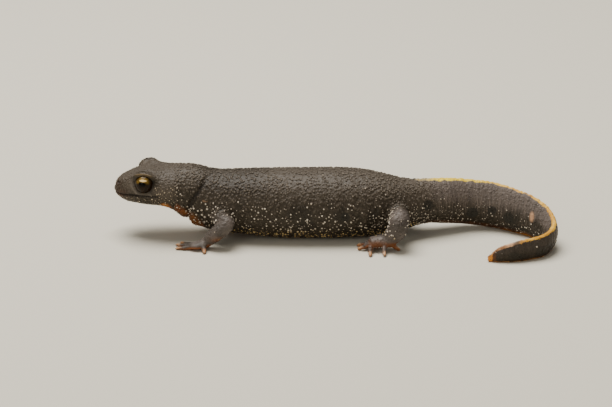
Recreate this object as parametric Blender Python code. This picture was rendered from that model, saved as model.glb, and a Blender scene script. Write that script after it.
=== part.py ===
"""A life-size balkan crested newt, a half-grown one about 10 cm long, standing still.

The newt faces -X and stands on the floor at z = 0. Its spine runs level and nearly
straight from the snout to the hips, and its flat tail swings round towards -Y and back.
Lengths below are millimetres. Along the body, a place is its distance from the tip of
the snout, measured along the spine. The newt's left side is its -Y side.
"""

import math

import bmesh
import bpy
import numpy as np
from mathutils import Vector

MM = 0.001
GAP = 0.3  # left between pieces that touch
# Where the spine's own x and y start, which centres the whole newt on the origin.
SNOUT_AT = (-41.04, 0.55)

# The spine seen from above, from the snout: the head turned a little to its right, then
# straight to the hips, then round the tail.
SPINE = (
    (0.0, 1.35),
    (7.0, 0.55),
    (14.0, 0.05),
    (28.0, 0.0),
    (42.0, 0.0),
    (54.0, 0.2),
    (60.0, 1.6),
    (66.0, 3.4),
    (71.0, 3.0),
    (75.0, 0.8),
    (78.2, -1.4),
    (80.6, -4.2),
    (81.4, -8.0),
    (79.6, -11.9),
    (75.6, -14.0),
    (71.8, -14.7),
    (68.8, -14.5),
)

# Girth of the body: place, underside, widest level, back, half width, pinch.
# Pinch shapes the section: below 1 it is boxy, 1 is an ellipse, above 1 it has keels.
GIRTH = (
    (0.0, 8.5, 8.75, 9.1, 0.35, 0.88),
    (0.35, 8.05, 8.75, 10.25, 1.45, 0.88),
    (1.0, 7.4, 8.8, 10.95, 2.4, 0.88),
    (2.3, 6.7, 8.85, 11.8, 3.4, 0.87),
    (4.1, 6.4, 8.95, 12.6, 4.1, 0.86),
    (6.5, 6.15, 9.1, 13.05, 4.65, 0.85),
    (8.9, 6.05, 9.15, 13.3, 5.1, 0.87),
    (11.1, 5.3, 9.2, 13.45, 5.3, 0.9),
    (12.7, 3.95, 8.9, 13.55, 5.15, 0.93),
    (14.2, 2.95, 8.6, 13.6, 5.05, 0.96),
    (14.9, 2.1, 8.3, 13.5, 5.1, 0.97),
    (15.8, 2.0, 7.9, 13.4, 5.2, 0.98),
    (17.6, 1.4, 7.2, 12.85, 5.5, 1.0),
    (19.6, 1.0, 6.7, 12.55, 5.8, 1.0),
    (22.4, 0.7, 6.5, 12.55, 6.15, 1.0),
    (26.7, 0.25, 6.3, 12.65, 6.6, 1.0),
    (31.0, -0.1, 6.2, 12.7, 6.85, 1.0),
    (36.8, -0.15, 6.2, 12.75, 6.95, 1.0),
    (41.8, -0.1, 6.2, 12.75, 6.9, 1.0),
    (44.5, 0.0, 6.3, 12.65, 6.7, 1.0),
    (47.3, 0.15, 6.2, 12.3, 6.3, 1.0),
    (50.2, 0.6, 6.2, 11.75, 5.6, 1.02),
    (53.1, 0.9, 6.1, 11.0, 4.7, 1.06),
    (55.5, 1.5, 6.0, 10.6, 3.9, 1.15),
    (58.0, 1.8, 6.0, 10.5, 3.3, 1.3),
    (62.0, 1.3, 5.6, 10.3, 2.8, 1.45),
    (66.5, 0.65, 4.8, 9.65, 2.4, 1.55),
    (71.0, 0.1, 4.2, 9.2, 2.1, 1.6),
    (76.0, -0.1, 3.9, 8.55, 1.8, 1.6),
    (81.0, -0.1, 3.4, 7.5, 1.45, 1.6),
    (85.5, -0.1, 2.7, 5.9, 1.15, 1.6),
    (89.5, -0.1, 2.2, 4.85, 1.05, 1.55),
    (94.0, -0.1, 1.9, 4.35, 0.95, 1.5),
    (98.5, -0.1, 1.65, 3.75, 0.8, 1.45),
    (101.5, -0.05, 1.1, 2.6, 0.5, 1.3),
    (103.2, 0.0, 0.45, 0.95, 0.25, 1.0),
)

HEAD_END, NECK_END, TRUNK_END = 12.6, 17.4, 55.6  # where the lengths of the body part
# How far the tail's top leans outwards in the bend, for each millimetre of its height.
TAIL_LEAN = ((74.0, 0.0), (79.0, 0.05), (84.0, 0.17), (90.0, 0.17), (95.0, 0.05), (98.0, 0.0))
TAIL_ENDS = (67.0, 77.5, 85.0, 92.5)  # where the tail's five lengths part
TAIL_TIP = 103.2
KEEL_HALF, KEEL_ROUND = 0.22, 0.4  # half the thickness of the tail's edges, and how bluntly they end

# The mouth is a groove along the widest level of the head.
MOUTH_DEPTH, MOUTH_FRONT, MOUTH_CORNER = 0.3, 0.9, 9.6
LIP_RISE = 0.12

SNOUT_HEIGHT = 8.8
EYE_RADIUS = 1.9
EYE_AT = (6.15, 3.45, 10.95)  # place, distance to each side, height
EYE_LOOKS = (-0.1, 0.96, 0.24)  # the way each eye faces: back along the spine, outwards, up
LID_RING, LID_OUT = 1.97, 0.95
LID_THICK = (0.48, 0.28)  # of the upper lid and of the lower one
LID_OPENING = 1.7
NOSTRIL_AT, NOSTRIL_RADIUS = (0.95, 1.68, 10.45), 0.3

# Swellings of the head: place, distance to each side, height, reach, then how far the
# skin rises along the body, sideways and up.
SWELLINGS = (
    (7.0, 3.3, 12.6, 1.95, 0.1, 0.3, 0.75),
    (1.3, 1.6, 10.8, 0.8, -0.08, 0.1, 0.08),
    (10.6, 4.6, 10.6, 2.4, 0.0, 0.25, 0.1),
)

# Each leg: root inside the body, shoulder or hip, elbow or knee, middle of the lower
# leg, wrist or ankle, with its radius there. The foot: the palm's middle and front, with
# half width and half thickness, then where each toe springs from it, and the toe's tip.
LEGS = {
    "foreleg_left": {
        "bones": (
            (19.0, -2.6, 5.9, 1.8),
            (19.3, -5.4, 5.5, 1.6),
            (21.1, -8.1, 4.8, 1.35),
            (19.2, -8.4, 3.2, 1.4),
            (17.5, -8.0, 1.5, 1.0),
        ),
        "palm": ((16.0, -8.5, 0.95, 1.3, 0.72), (14.7, -8.5, 0.8, 1.15, 0.55)),
        "toes": (
            (14.9, -7.6, 0.75, 12.4, -5.4),
            (14.4, -8.1, 0.7, 11.6, -6.5),
            (14.4, -8.8, 0.7, 11.6, -8.5),
            (16.9, -9.3, 0.9, 17.0, -11.0),
        ),
    },
    "foreleg_right": {
        "bones": (
            (19.0, 2.6, 5.9, 1.8),
            (19.9, 5.4, 5.9, 1.65),
            (22.7, 8.0, 5.2, 1.35),
            (21.5, 8.9, 3.2, 1.3),
            (19.7, 9.2, 1.5, 0.95),
        ),
        "palm": ((18.4, 9.6, 0.95, 1.2, 0.72), (17.2, 9.9, 0.8, 1.1, 0.55)),
        "toes": (
            (17.3, 9.0, 0.75, 15.6, 7.2),
            (16.9, 9.6, 0.7, 14.3, 8.8),
            (17.0, 10.3, 0.7, 14.7, 11.1),
            (18.7, 10.4, 0.85, 18.2, 12.7),
        ),
    },
    "hindleg_left": {
        "bones": (
            (53.0, -1.6, 6.4, 1.9),
            (53.0, -4.9, 5.7, 1.8),
            (52.7, -9.2, 5.2, 1.8),
            (52.3, -9.3, 3.8, 1.7),
            (51.3, -9.0, 2.5, 1.4),
        ),
        "palm": ((49.6, -8.7, 1.8, 1.5, 1.1), (47.7, -8.9, 1.6, 1.4, 1.0)),
        "toes": (
            (47.4, -8.2, 1.4, 45.1, -7.0),
            (47.3, -9.0, 1.2, 45.2, -8.9),
            (47.5, -9.6, 1.3, 47.5, -12.4),
            (50.1, -9.5, 1.6, 50.1, -12.4),
            (51.7, -9.4, 1.3, 53.0, -9.4),
        ),
    },
    "hindleg_right": {
        "bones": (
            (53.0, 1.6, 6.4, 1.9),
            (53.1, 4.9, 5.7, 1.8),
            (53.9, 9.3, 5.2, 1.65),
            (53.3, 9.6, 3.8, 1.55),
            (52.2, 9.6, 2.5, 1.4),
        ),
        "palm": ((50.6, 9.6, 1.7, 1.5, 1.0), (48.8, 9.9, 1.5, 1.4, 0.9)),
        "toes": (
            (48.6, 8.9, 1.3, 46.9, 7.5),
            (48.2, 9.8, 1.2, 45.9, 9.9),
            (48.4, 10.6, 1.2, 47.2, 13.2),
            (50.2, 10.7, 1.5, 50.3, 14.1),
            (52.1, 10.4, 1.6, 53.6, 12.3),
        ),
    },
}
BEND_ROOM = 2.1  # from a bent elbow or knee to the next ring of points
TOE_RADIUS, TOE_TIP_RADIUS, TOE_TIP_HEIGHT = 0.45, 0.3, 0.24

HEAD_ANGLES = (-90, -74, -58, -43, -29, -17, -8, 0, 8, 18, 29, 40, 51, 62, 75, 90)
HEAD_RINGS = (0.12, 0.35, 0.65, 1.0, 1.5, 2.1, 2.8, 3.5, 4.2, 4.9, 5.6, 6.3, 7.0, 7.8, 8.7, 9.6, 10.6, 11.6)
TRUNK_COLUMNS, TAIL_COLUMNS, LEG_SIDES, TOE_SIDES = 28, 20, 14, 8

COLOURS = {
    "skin_dark": (0.052, 0.042, 0.034),
    "tail_dark": (0.055, 0.042, 0.036),
    "leg_grey": (0.085, 0.072, 0.062),
    "toe_orange": (0.30, 0.13, 0.055),
    "eye_gold": (0.12, 0.07, 0.02),
}


def smooth(table, places):
    """Values of a table of (place, value, ...) rows at some places, by cubics that pass through the rows."""
    table = np.array(table, float)
    known, values = table[:, 0], table[:, 1:]
    slopes = np.gradient(values, known, axis=0)
    places = np.atleast_1d(np.asarray(places, float))
    row = np.clip(np.searchsorted(known, places) - 1, 0, len(known) - 2)
    span = (known[row + 1] - known[row])[:, None]
    t = (places - known[row])[:, None] / span
    start = (1 + 2 * t) * (1 - t) ** 2 * values[row] + t * (1 - t) ** 2 * span * slopes[row]
    end = t * t * (3 - 2 * t) * values[row + 1] - t * t * (1 - t) * span * slopes[row + 1]
    return start + end


def along(points, count):
    """Points evenly spaced on a smooth curve through the given ones, and how far each lies along it."""
    points = np.array(points, float)
    chord = np.append(0, np.cumsum(np.linalg.norm(np.diff(points[:, :3], axis=0), axis=1)))
    fine = smooth(np.column_stack([chord, points]), np.linspace(0, chord[-1], 900))
    length = np.append(0, np.cumsum(np.linalg.norm(np.diff(fine[:, :3], axis=0), axis=1)))
    even = np.linspace(0, length[-1], count)
    return np.column_stack([np.interp(even, length, column) for column in fine.T]), even


SPINE_CURVE, SPINE_PLACES = along([(x, y, 0) for x, y in SPINE], 1200)


def spine_frame(places):
    """Point of the spine at each place, and the level direction towards the newt's left."""
    stretched = np.asarray(places, float) * SPINE_PLACES[-1] / TAIL_TIP
    x, y = (np.interp(stretched, SPINE_PLACES, SPINE_CURVE[:, i]) for i in (0, 1))
    step = np.gradient(SPINE_CURVE[:, :2], SPINE_PLACES, axis=0)
    back = np.column_stack([np.interp(stretched, SPINE_PLACES, step[:, i]) for i in (0, 1)])
    back /= np.linalg.norm(back, axis=1, keepdims=True)
    return np.column_stack([x, y]), np.column_stack([back[:, 1], -back[:, 0]])


def body_point(place, side, height):
    """Point at a distance to one side of the spine, and a height. The right side is positive."""
    centre, left = spine_frame([place])
    return np.array([*(centre[0] - side * left[0]), height])


def body_turned(place, backwards, rightwards, upwards):
    """A direction given along the spine, to the newt's right and up, in the model's frame."""
    left = spine_frame([place])[1][0]
    back = np.array([-left[1], left[0]])
    return np.array([*(backwards * back - rightwards * left), upwards])


def round_angles(columns):
    """Angles round a section in degrees, from the underside up the left side and down the right."""
    return -90 + 360 * np.arange(columns) / columns


def mirrored(left_angles):
    """A full turn of angles from those of the left side, which end at the underside and the back."""
    left = np.array(left_angles, float)
    return np.concatenate([left, 180 - left[-2:0:-1]])


def body_rings(places, angles, grown=0.0):
    """Rings of points round the body, each of them a superellipse that stands across the spine.

    Where the section has keels, a rim of its own half thickness keeps them from a knife edge.
    """
    places = np.asarray(places, float)
    centre, left = spine_frame(places)
    underside, level, back, half, pinch = smooth(GIRTH, places).T[:, :, None]
    cos, sin = np.cos(np.radians(angles))[None, :], np.sin(np.radians(angles))[None, :]
    rim = KEEL_HALF * np.clip((pinch - 1) / 0.5, 0, 1)
    side = (half + grown - rim) * np.abs(cos) ** pinch + rim * np.abs(cos) ** KEEL_ROUND
    side = side * np.sign(cos)
    lean = np.interp(places, *zip(*TAIL_LEAN))[:, None]
    upright = np.abs(sin) ** (0.9 + 0.1 * np.clip(pinch, 0, 1))
    height = level + upright * np.where(sin > 0, back + grown - level, underside - grown - level)
    points = np.empty((*side.shape, 3))
    points[..., :2] = centre[:, None, :] + (side - lean * (height - 2 * level))[..., None] * left[:, None, :]
    points[..., 2] = height
    return points


def on_floor(points):
    """Presses whatever lies under the floor up to it, which leaves a small flat."""
    points[..., 2] = np.maximum(points[..., 2], 0)
    return points


def placed(points):
    """Millimetres from where the spine starts to metres in the model's frame."""
    return (np.asarray(points) + np.array([*SNOUT_AT, 0])) * MM


def add_object(name, points, faces, colour):
    """A closed mesh object, with its faces turned outwards."""
    mesh = bpy.data.meshes.new(name)
    mesh.from_pydata(placed(points).tolist(), [], faces)
    work = bmesh.new()
    work.from_mesh(mesh)
    bmesh.ops.recalc_face_normals(work, faces=work.faces)
    work.to_mesh(mesh)
    work.free()
    mesh.shade_smooth()
    obj = bpy.data.objects.new(name, mesh)
    bpy.context.scene.collection.objects.link(obj)
    obj.data.materials.append(skin_material(name, colour))
    return obj


def skin_material(name, colour):
    material = bpy.data.materials.new(name)
    material.use_nodes = True
    shader = material.node_tree.nodes["Principled BSDF"]
    shader.inputs["Base Color"].default_value = (*COLOURS[colour], 1)
    shader.inputs["Roughness"].default_value = 0.15 if colour == "eye_gold" else 0.6
    shader.inputs["Metallic"].default_value = 0.0
    return material


def loft(name, rings, colour, first=None, last=None):
    """Skins a stack of rings. Each end is closed flat, or drawn to a point where one is given.

    Squares are split alike on both sides of the body, so that thin keels don't cross.
    """
    count, columns = rings.shape[:2]
    faces = []
    for i in range(count - 1):
        for j in range(columns):
            a, b = i * columns + j, i * columns + (j + 1) % columns
            c, d = b + columns, a + columns
            faces += [(a, b, c), (a, c, d)] if j < columns // 2 else [(a, b, d), (b, c, d)]
    points = list(rings.reshape(-1, 3))
    for tip, start in ((first, 0), (last, (count - 1) * columns)):
        ring = [start + j for j in range(columns)]
        if tip is None:
            faces.append(tuple(ring if start == 0 else ring[::-1]))
            continue
        points.append(np.array(tip, float))
        faces += [(ring[j], ring[(j + 1) % columns], len(points) - 1) for j in range(columns)]
    return add_object(name, np.array(points), faces, colour)


def tube_rings(points, radii, sides, steps=None):
    """Rings of elliptical section square to a path. Radii are (across, upright) at each point.

    Steps are the path's directions, which are read from the points unless they are given.
    """
    steps = np.gradient(points, axis=0) if steps is None else steps
    steps /= np.linalg.norm(steps, axis=1, keepdims=True)
    turn = 2 * np.pi * np.arange(sides) / sides
    across = np.cross(steps[0], (0, 0, 1))
    rings = []
    for point, step, (wide, tall) in zip(points, steps, radii):
        across = across - step * (across @ step)
        across /= np.linalg.norm(across)
        up = np.cross(across, step)
        ring = np.outer(np.cos(turn) * wide, across) + np.outer(np.sin(turn) * tall, up)
        rings.append(point + ring)
    return np.array(rings)


def applied(obj):
    """Replaces the object's mesh by what its modifiers make of it."""
    graph = bpy.context.evaluated_depsgraph_get()
    mesh = bpy.data.meshes.new_from_object(obj.evaluated_get(graph))
    obj.modifiers.clear()
    obj.data = mesh
    return obj


def keep_largest(obj):
    """Drops every closed surface of the mesh but the largest."""
    work = bmesh.new()
    work.from_mesh(obj.data)
    left, islands = set(work.verts), []
    while left:
        island, edge = set(), [left.pop()]
        while edge:
            vert = edge.pop()
            island.add(vert)
            near = {e.other_vert(vert) for e in vert.link_edges} & left
            left -= near
            edge += near
        islands.append(island)
    largest = max(islands, key=len)
    bmesh.ops.delete(work, geom=[v for v in work.verts if v not in largest], context="VERTS")
    work.to_mesh(obj.data)
    work.free()
    return obj


def combine(obj, others, operation):
    """Joins closed objects to one, or cuts them from it, and removes them."""
    group = bpy.data.collections.new(obj.name + "_" + operation.lower())
    bpy.context.scene.collection.children.link(group)
    for other in others:
        bpy.context.scene.collection.objects.unlink(other)
        group.objects.link(other)
    modifier = obj.modifiers.new(operation, "BOOLEAN")
    modifier.operation = operation
    modifier.operand_type = "COLLECTION"
    modifier.collection = group
    modifier.solver = "EXACT"
    bpy.context.view_layer.update()
    applied(obj)
    for other in others:
        bpy.data.objects.remove(other)
    bpy.data.collections.remove(group)
    return keep_largest(obj)


def ball(name, centre, radius, colour, columns=24, stretch=(1, 1, 1)):
    """A ball or, with a stretch, an egg, placed in millimetres."""
    mesh = bpy.data.meshes.new(name)
    work = bmesh.new()
    bmesh.ops.create_uvsphere(work, u_segments=columns, v_segments=columns // 2, radius=radius * MM)
    bmesh.ops.scale(work, verts=work.verts, vec=stretch)
    work.to_mesh(mesh)
    work.free()
    mesh.shade_smooth()
    obj = bpy.data.objects.new(name, mesh)
    obj.location = placed(centre)
    bpy.context.scene.collection.objects.link(obj)
    obj.data.materials.append(skin_material(name, colour))
    return obj


def eye_place(side):
    """Centre of an eye and the way it looks. Side is 1 for the right and -1 for the left."""
    place, out, height = EYE_AT
    backwards, outwards, upwards = EYE_LOOKS
    look = Vector(body_turned(place, backwards, side * outwards, upwards)).normalized()
    return Vector(body_point(place, side * out, height)), look


def lid_ring(side):
    """The raised lids: a ring round the eye, square to the way it looks."""
    centre, look = eye_place(side)
    spin = look.to_track_quat("Z", "Y")
    turns = 22
    rings = []
    for i in range(turns):
        angle = 2 * math.pi * i / turns
        out = spin @ Vector((math.cos(angle), math.sin(angle), 0))
        path = centre + look * LID_OUT + out * LID_RING
        thick = sum(LID_THICK) / 2 + out.z * (LID_THICK[0] - LID_THICK[1]) / 2
        section = [
            path + thick * (out * math.cos(t) + look * math.sin(t))
            for t in (2 * math.pi * k / 8 for k in range(8))
        ]
        rings.append([list(point) for point in section])
    points = np.array(rings).reshape(-1, 3)
    faces = []
    for i in range(turns):
        for j in range(8):
            a, b = i * 8 + j, i * 8 + (j + 1) % 8
            c, d = ((i + 1) % turns) * 8 + (j + 1) % 8, ((i + 1) % turns) * 8 + j
            faces.append((a, b, c, d))
    return add_object("lids", points, faces, "skin_dark")


def socket_cutters(side):
    """What hollows the head for an eye: a ball a little larger than it, and its way out."""
    centre, look = eye_place(side)
    hollow = ball("socket", centre, EYE_RADIUS + GAP, "skin_dark", 24)
    path = np.array([centre + look * far for far in (0.0, 2.0, 4.0)])
    rings = tube_rings(path, [(LID_OPENING, LID_OPENING)] * 3, 24)
    opening = loft("opening", rings, "skin_dark")
    return [hollow, opening]


def head_points():
    """Rings of the head, with the groove of the mouth, its lips and the swellings over the eyes."""
    rings = np.append(HEAD_RINGS, HEAD_END)
    angles = mirrored(HEAD_ANGLES)
    points = body_rings(rings, angles)
    centre, left = spine_frame(rings)
    depth = np.clip(rings / MOUTH_FRONT, 0, 1) * np.clip((MOUTH_CORNER - rings) / 0.8, 0, 1)
    for column, angle in enumerate(angles):
        side = 1 if abs(angle) < 90 else -1
        level = min(abs(angle), abs(180 - angle))
        move = {0: -MOUTH_DEPTH, 8: LIP_RISE}.get(int(round(level)), 0.0)
        points[:, column, :2] += side * move * depth[:, None] * left
    for place, out, height, reach, rise_x, rise_y, rise_z in SWELLINGS:
        for side in (-1, 1):
            away = np.linalg.norm(points - body_point(place, side * out, height), axis=-1) / reach
            points += np.exp(-away ** 2)[..., None] * body_turned(place, rise_x, side * rise_y, rise_z)
    return points


def build_head():
    head = loft("head", head_points(), "skin_dark", first=body_point(0, 0, SNOUT_HEIGHT) - (0.05, 0, 0))
    combine(head, [lid_ring(-1), lid_ring(1)], "UNION")
    cutters = socket_cutters(-1) + socket_cutters(1)
    place, out, height = NOSTRIL_AT
    for side in (-1, 1):
        where = body_point(place, side * out, height)
        cutters.append(ball("nostril", where, NOSTRIL_RADIUS, "skin_dark", 8, (1.3, 1, 0.8)))
    combine(head, cutters, "DIFFERENCE")
    for side, name in ((-1, "eye_left"), (1, "eye_right")):
        ball(name, eye_place(side)[0], EYE_RADIUS, "eye_gold", 24)


def build_length(name, start, end, spacing, columns, colour):
    """One length of the neck, trunk or tail, flat at both ends."""
    count = max(3, int(round((end - start) / spacing)) + 1)
    rings = body_rings(np.linspace(start + GAP / 2, end - GAP / 2, count), round_angles(columns))
    return loft(name, on_floor(rings), colour)


def build_tail():
    ends = (TRUNK_END, *TAIL_ENDS)
    names = ("tail_root", "tail_middle", "tail_bend", "tail_return")
    for name, start, end in zip(names, ends[:-1], ends[1:]):
        build_length(name, start, end, 1.3, TAIL_COLUMNS, "tail_dark")
    places = np.linspace(TAIL_ENDS[-1] + GAP / 2, TAIL_TIP - 0.25, 10)
    rings = on_floor(body_rings(places, round_angles(TAIL_COLUMNS)))
    point = spine_frame([TAIL_TIP + 0.0])[0][0]
    loft("tail_tip", rings, "tail_dark", last=(*point, 0.45))


def grown_trunk():
    """The trunk's own shape, larger by the gap: it cuts the roots of the legs to the trunk."""
    places = np.linspace(NECK_END, TRUNK_END, 30)
    rings = body_rings(places, round_angles(TRUNK_COLUMNS), GAP)
    return loft("grown_trunk", rings, "skin_dark")


def direction(table, places):
    """Unit directions of a path, whose table has its points in the first three values."""
    step = smooth(table, np.add(places, 0.04))[:, :3] - smooth(table, np.add(places, -0.04))[:, :3]
    return step / np.linalg.norm(step, axis=1, keepdims=True)


def leg_pieces(name, bones):
    """The upper and lower leg as two lengths of one smooth tube, which part at the joint."""
    path, far = along(bones, 60)
    joint = far[np.argmin(np.linalg.norm(path[:, :3] - np.array(bones[2][:3]), axis=1))]
    table = np.column_stack([far, path])
    stations = {
        "upper": [*np.linspace(0.05, joint - BEND_ROOM, 7), joint - GAP / 2],
        "lower": [joint + GAP / 2, *np.linspace(joint + BEND_ROOM, far[-1] - GAP / 2, 6)],
    }
    pieces = []
    bend = direction(table, joint - BEND_ROOM) + direction(table, joint + BEND_ROOM)
    for label, places in stations.items():
        rows = smooth(table, places)
        steps = direction(table, places)
        steps[-1 if label == "upper" else 0] = bend
        rings = tube_rings(rows[:, :3], rows[:, [3, 3]], LEG_SIDES, steps)
        pieces.append(loft(f"{name}_{label}", rings, "leg_grey"))
    combine(pieces[0], [grown_trunk()], "DIFFERENCE")
    end = path[-1, :3]
    ahead = (end - path[-2, :3]) / np.linalg.norm(end - path[-2, :3])
    return end + ahead * GAP / 2, ahead


def build_foot(name, start, ahead, leg):
    """A palm that begins at the wrist or ankle, with the toes sunk in it."""
    root_radius = LEGS[leg]["bones"][-1][3]
    middle, front = (np.array(row) for row in LEGS[leg]["palm"])
    rows = [(*start, root_radius, root_radius), (*(start + ahead * 0.5), root_radius, root_radius)]
    path, _ = along([*rows, middle, front], 9)
    rings = tube_rings(path[:, :3], path[:, 3:5], 16)
    palm = loft(name, rings, "toe_orange", last=front[:3] + (front - middle)[:3] * 0.35)
    toes = []
    for base_x, base_y, base_z, tip_x, tip_y in LEGS[leg]["toes"]:
        base = np.array([base_x, base_y, base_z])
        tip = np.array([tip_x, tip_y, TOE_TIP_HEIGHT])
        inner = base + (base - tip) * np.array([0.12, 0.12, 0])
        knuckle = base + (tip - base) * 0.6 + np.array([0, 0, -0.08])
        route, _ = along([inner, knuckle, tip], 6)
        thick = np.linspace(TOE_RADIUS, TOE_TIP_RADIUS, 6)
        tube = on_floor(tube_rings(route, np.column_stack([thick, thick]), TOE_SIDES))
        toes.append(loft("toe", tube, "toe_orange", last=on_floor(tip + (tip - route[-2]) * 0.25)))
    combine(palm, toes, "UNION")


def main():
    for obj in list(bpy.data.objects):
        bpy.data.objects.remove(obj)
    build_head()
    build_length("neck", HEAD_END, NECK_END, 1.2, TRUNK_COLUMNS, "skin_dark")
    build_length("trunk", NECK_END, TRUNK_END, 2.0, TRUNK_COLUMNS, "skin_dark")
    build_tail()
    for leg in LEGS:
        start, ahead = leg_pieces(leg, LEGS[leg]["bones"])
        build_foot(leg.replace("leg", "foot"), start, ahead, leg)


main()
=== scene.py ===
"""A balkan crested newt, half grown and about 10 cm long, as a still life-size model.

One warty skin covers the whole animal. Set in it are two eyes, and cream granules stand on
its flanks. Lengths are millimetres until a mesh is made. A place on the body is its
distance from the tip of the snout along the spine. The newt faces -X, its left is -Y.
"""

import bmesh
import bpy
import numpy as np
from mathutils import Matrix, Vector


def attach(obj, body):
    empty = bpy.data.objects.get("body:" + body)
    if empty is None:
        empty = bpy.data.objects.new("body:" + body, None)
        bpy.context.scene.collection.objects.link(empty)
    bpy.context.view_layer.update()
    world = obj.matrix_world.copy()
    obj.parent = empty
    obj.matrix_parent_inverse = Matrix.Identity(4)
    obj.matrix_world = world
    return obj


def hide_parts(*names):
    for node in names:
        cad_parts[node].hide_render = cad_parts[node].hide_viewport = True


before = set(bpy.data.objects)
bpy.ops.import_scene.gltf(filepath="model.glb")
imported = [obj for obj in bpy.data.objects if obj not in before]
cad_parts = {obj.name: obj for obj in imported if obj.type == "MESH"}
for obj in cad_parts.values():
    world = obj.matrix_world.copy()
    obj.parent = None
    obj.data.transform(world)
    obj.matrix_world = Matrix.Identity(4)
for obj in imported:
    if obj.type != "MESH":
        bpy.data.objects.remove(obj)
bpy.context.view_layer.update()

# The body under the skin.
# Head, neck, trunk and tail are one tube along the spine. Its section at each place is a
# superellipse from an underside to a back, which pinches into thin edges on the tail.

MM = 0.001
SNOUT_AT = np.array([-41.04, 0.55, 0.0])
SPINE = (
    (0.0, 1.35),
    (7.0, 0.55),
    (14.0, 0.05),
    (28.0, 0.0),
    (42.0, 0.0),
    (54.0, 0.2),
    (60.0, 1.6),
    (66.0, 3.4),
    (71.0, 3.0),
    (75.0, 0.8),
    (78.2, -1.4),
    (80.6, -4.2),
    (81.4, -8.0),
    (79.6, -11.9),
    (75.6, -14.0),
    (71.8, -14.7),
    (68.8, -14.5),
)
# Place, underside, widest level, back, half width, pinch.
GIRTH = (
    (0.0, 8.5, 8.75, 9.1, 0.35, 0.88),
    (0.35, 8.05, 8.75, 10.25, 1.45, 0.88),
    (1.0, 7.4, 8.8, 10.95, 2.4, 0.88),
    (2.3, 6.7, 8.85, 11.8, 3.4, 0.87),
    (4.1, 6.4, 8.95, 12.6, 4.1, 0.86),
    (6.5, 6.15, 9.1, 13.05, 4.65, 0.85),
    (8.9, 6.05, 9.15, 13.3, 5.1, 0.87),
    (11.1, 5.3, 9.2, 13.45, 5.3, 0.9),
    (12.7, 3.95, 8.9, 13.55, 5.15, 0.93),
    (14.2, 2.95, 8.6, 13.6, 5.05, 0.96),
    (14.9, 2.1, 8.3, 13.5, 5.1, 0.97),
    (15.8, 2.0, 7.9, 13.4, 5.2, 0.98),
    (17.6, 1.4, 7.2, 12.85, 5.5, 1.0),
    (19.6, 1.0, 6.7, 12.55, 5.8, 1.0),
    (22.4, 0.7, 6.5, 12.55, 6.15, 1.0),
    (26.7, 0.25, 6.3, 12.65, 6.6, 1.0),
    (31.0, -0.1, 6.2, 12.7, 6.85, 1.0),
    (36.8, -0.15, 6.2, 12.75, 6.95, 1.0),
    (41.8, -0.1, 6.2, 12.75, 6.9, 1.0),
    (44.5, 0.0, 6.3, 12.65, 6.7, 1.0),
    (47.3, 0.15, 6.2, 12.3, 6.3, 1.0),
    (50.2, 0.6, 6.2, 11.75, 5.6, 1.02),
    (53.1, 0.9, 6.1, 11.0, 4.7, 1.06),
    (55.5, 1.5, 6.0, 10.6, 3.9, 1.15),
    (58.0, 1.8, 6.0, 10.5, 3.3, 1.3),
    (62.0, 1.3, 5.6, 10.3, 2.8, 1.45),
    (66.5, 0.65, 4.8, 9.65, 2.4, 1.55),
    (71.0, 0.1, 4.2, 9.2, 2.1, 1.6),
    (76.0, -0.1, 3.9, 8.55, 1.8, 1.6),
    (81.0, -0.1, 3.4, 7.5, 1.45, 1.6),
    (85.5, -0.1, 2.7, 5.9, 1.15, 1.6),
    (89.5, -0.1, 2.2, 4.85, 1.05, 1.55),
    (94.0, -0.1, 1.9, 4.35, 0.95, 1.5),
    (98.5, -0.1, 1.65, 3.75, 0.8, 1.45),
    (101.5, -0.05, 1.1, 2.6, 0.5, 1.3),
    (103.2, 0.0, 0.45, 0.95, 0.25, 1.0),
)
TAIL_TIP = 103.2
# Place, and the share of its height by which the tail leans over.
TAIL_LEAN = ((74.0, 0.0), (79.0, 0.05), (84.0, 0.17), (90.0, 0.17), (95.0, 0.05), (98.0, 0.0))
# Brows, snout sides and the swellings behind the jaw: place, side, height, reach, and how far
# the skin is moved back, outwards and up.
SWELLINGS = (
    (7.0, 3.3, 12.6, 1.95, 0.1, 0.3, 0.75),
    (1.3, 1.6, 10.8, 0.8, -0.08, 0.1, 0.08),
    (10.6, 4.6, 10.6, 2.4, 0.0, 0.25, 0.1),
)
# Points round the body, the places of its first rows and their gap, and the rows further back.
BODY_SIDES = 150
FIRST_ROW, HEAD_ROW_GAP, HEAD_ROWS_TO, BODY_ROWS = 0.05, 0.14, 14, 300
SPINE_STEPS, CURVE_STEPS = 1200, 900


def smooth(table, places):
    """Values of a table of (place, value, ...) rows, by cubics that pass through the rows."""
    table = np.array(table, float)
    known, values = table[:, 0], table[:, 1:]
    slopes = np.gradient(values, known, axis=0)
    places = np.atleast_1d(np.asarray(places, float))
    row = np.clip(np.searchsorted(known, places) - 1, 0, len(known) - 2)
    span = (known[row + 1] - known[row])[:, None]
    t = (places - known[row])[:, None] / span
    start = (1 + 2 * t) * (1 - t) ** 2 * values[row] + t * (1 - t) ** 2 * span * slopes[row]
    end = t * t * (3 - 2 * t) * values[row + 1] - t * t * (1 - t) * span * slopes[row + 1]
    return start + end


def along(points, count):
    """Evenly spaced points of a smooth curve through the given ones, and how far along they lie."""
    points = np.array(points, float)
    chord = np.append(0, np.cumsum(np.linalg.norm(np.diff(points[:, :3], axis=0), axis=1)))
    dense = smooth(np.column_stack([chord, points]), np.linspace(0, chord[-1], CURVE_STEPS))
    length = np.append(0, np.cumsum(np.linalg.norm(np.diff(dense[:, :3], axis=0), axis=1)))
    even = np.linspace(0, length[-1], count)
    return np.column_stack([np.interp(even, length, column) for column in dense.T]), even


def round_angles(count):
    """Evenly spaced angles all the way round."""
    return 2 * np.pi * np.arange(count) / count


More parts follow.
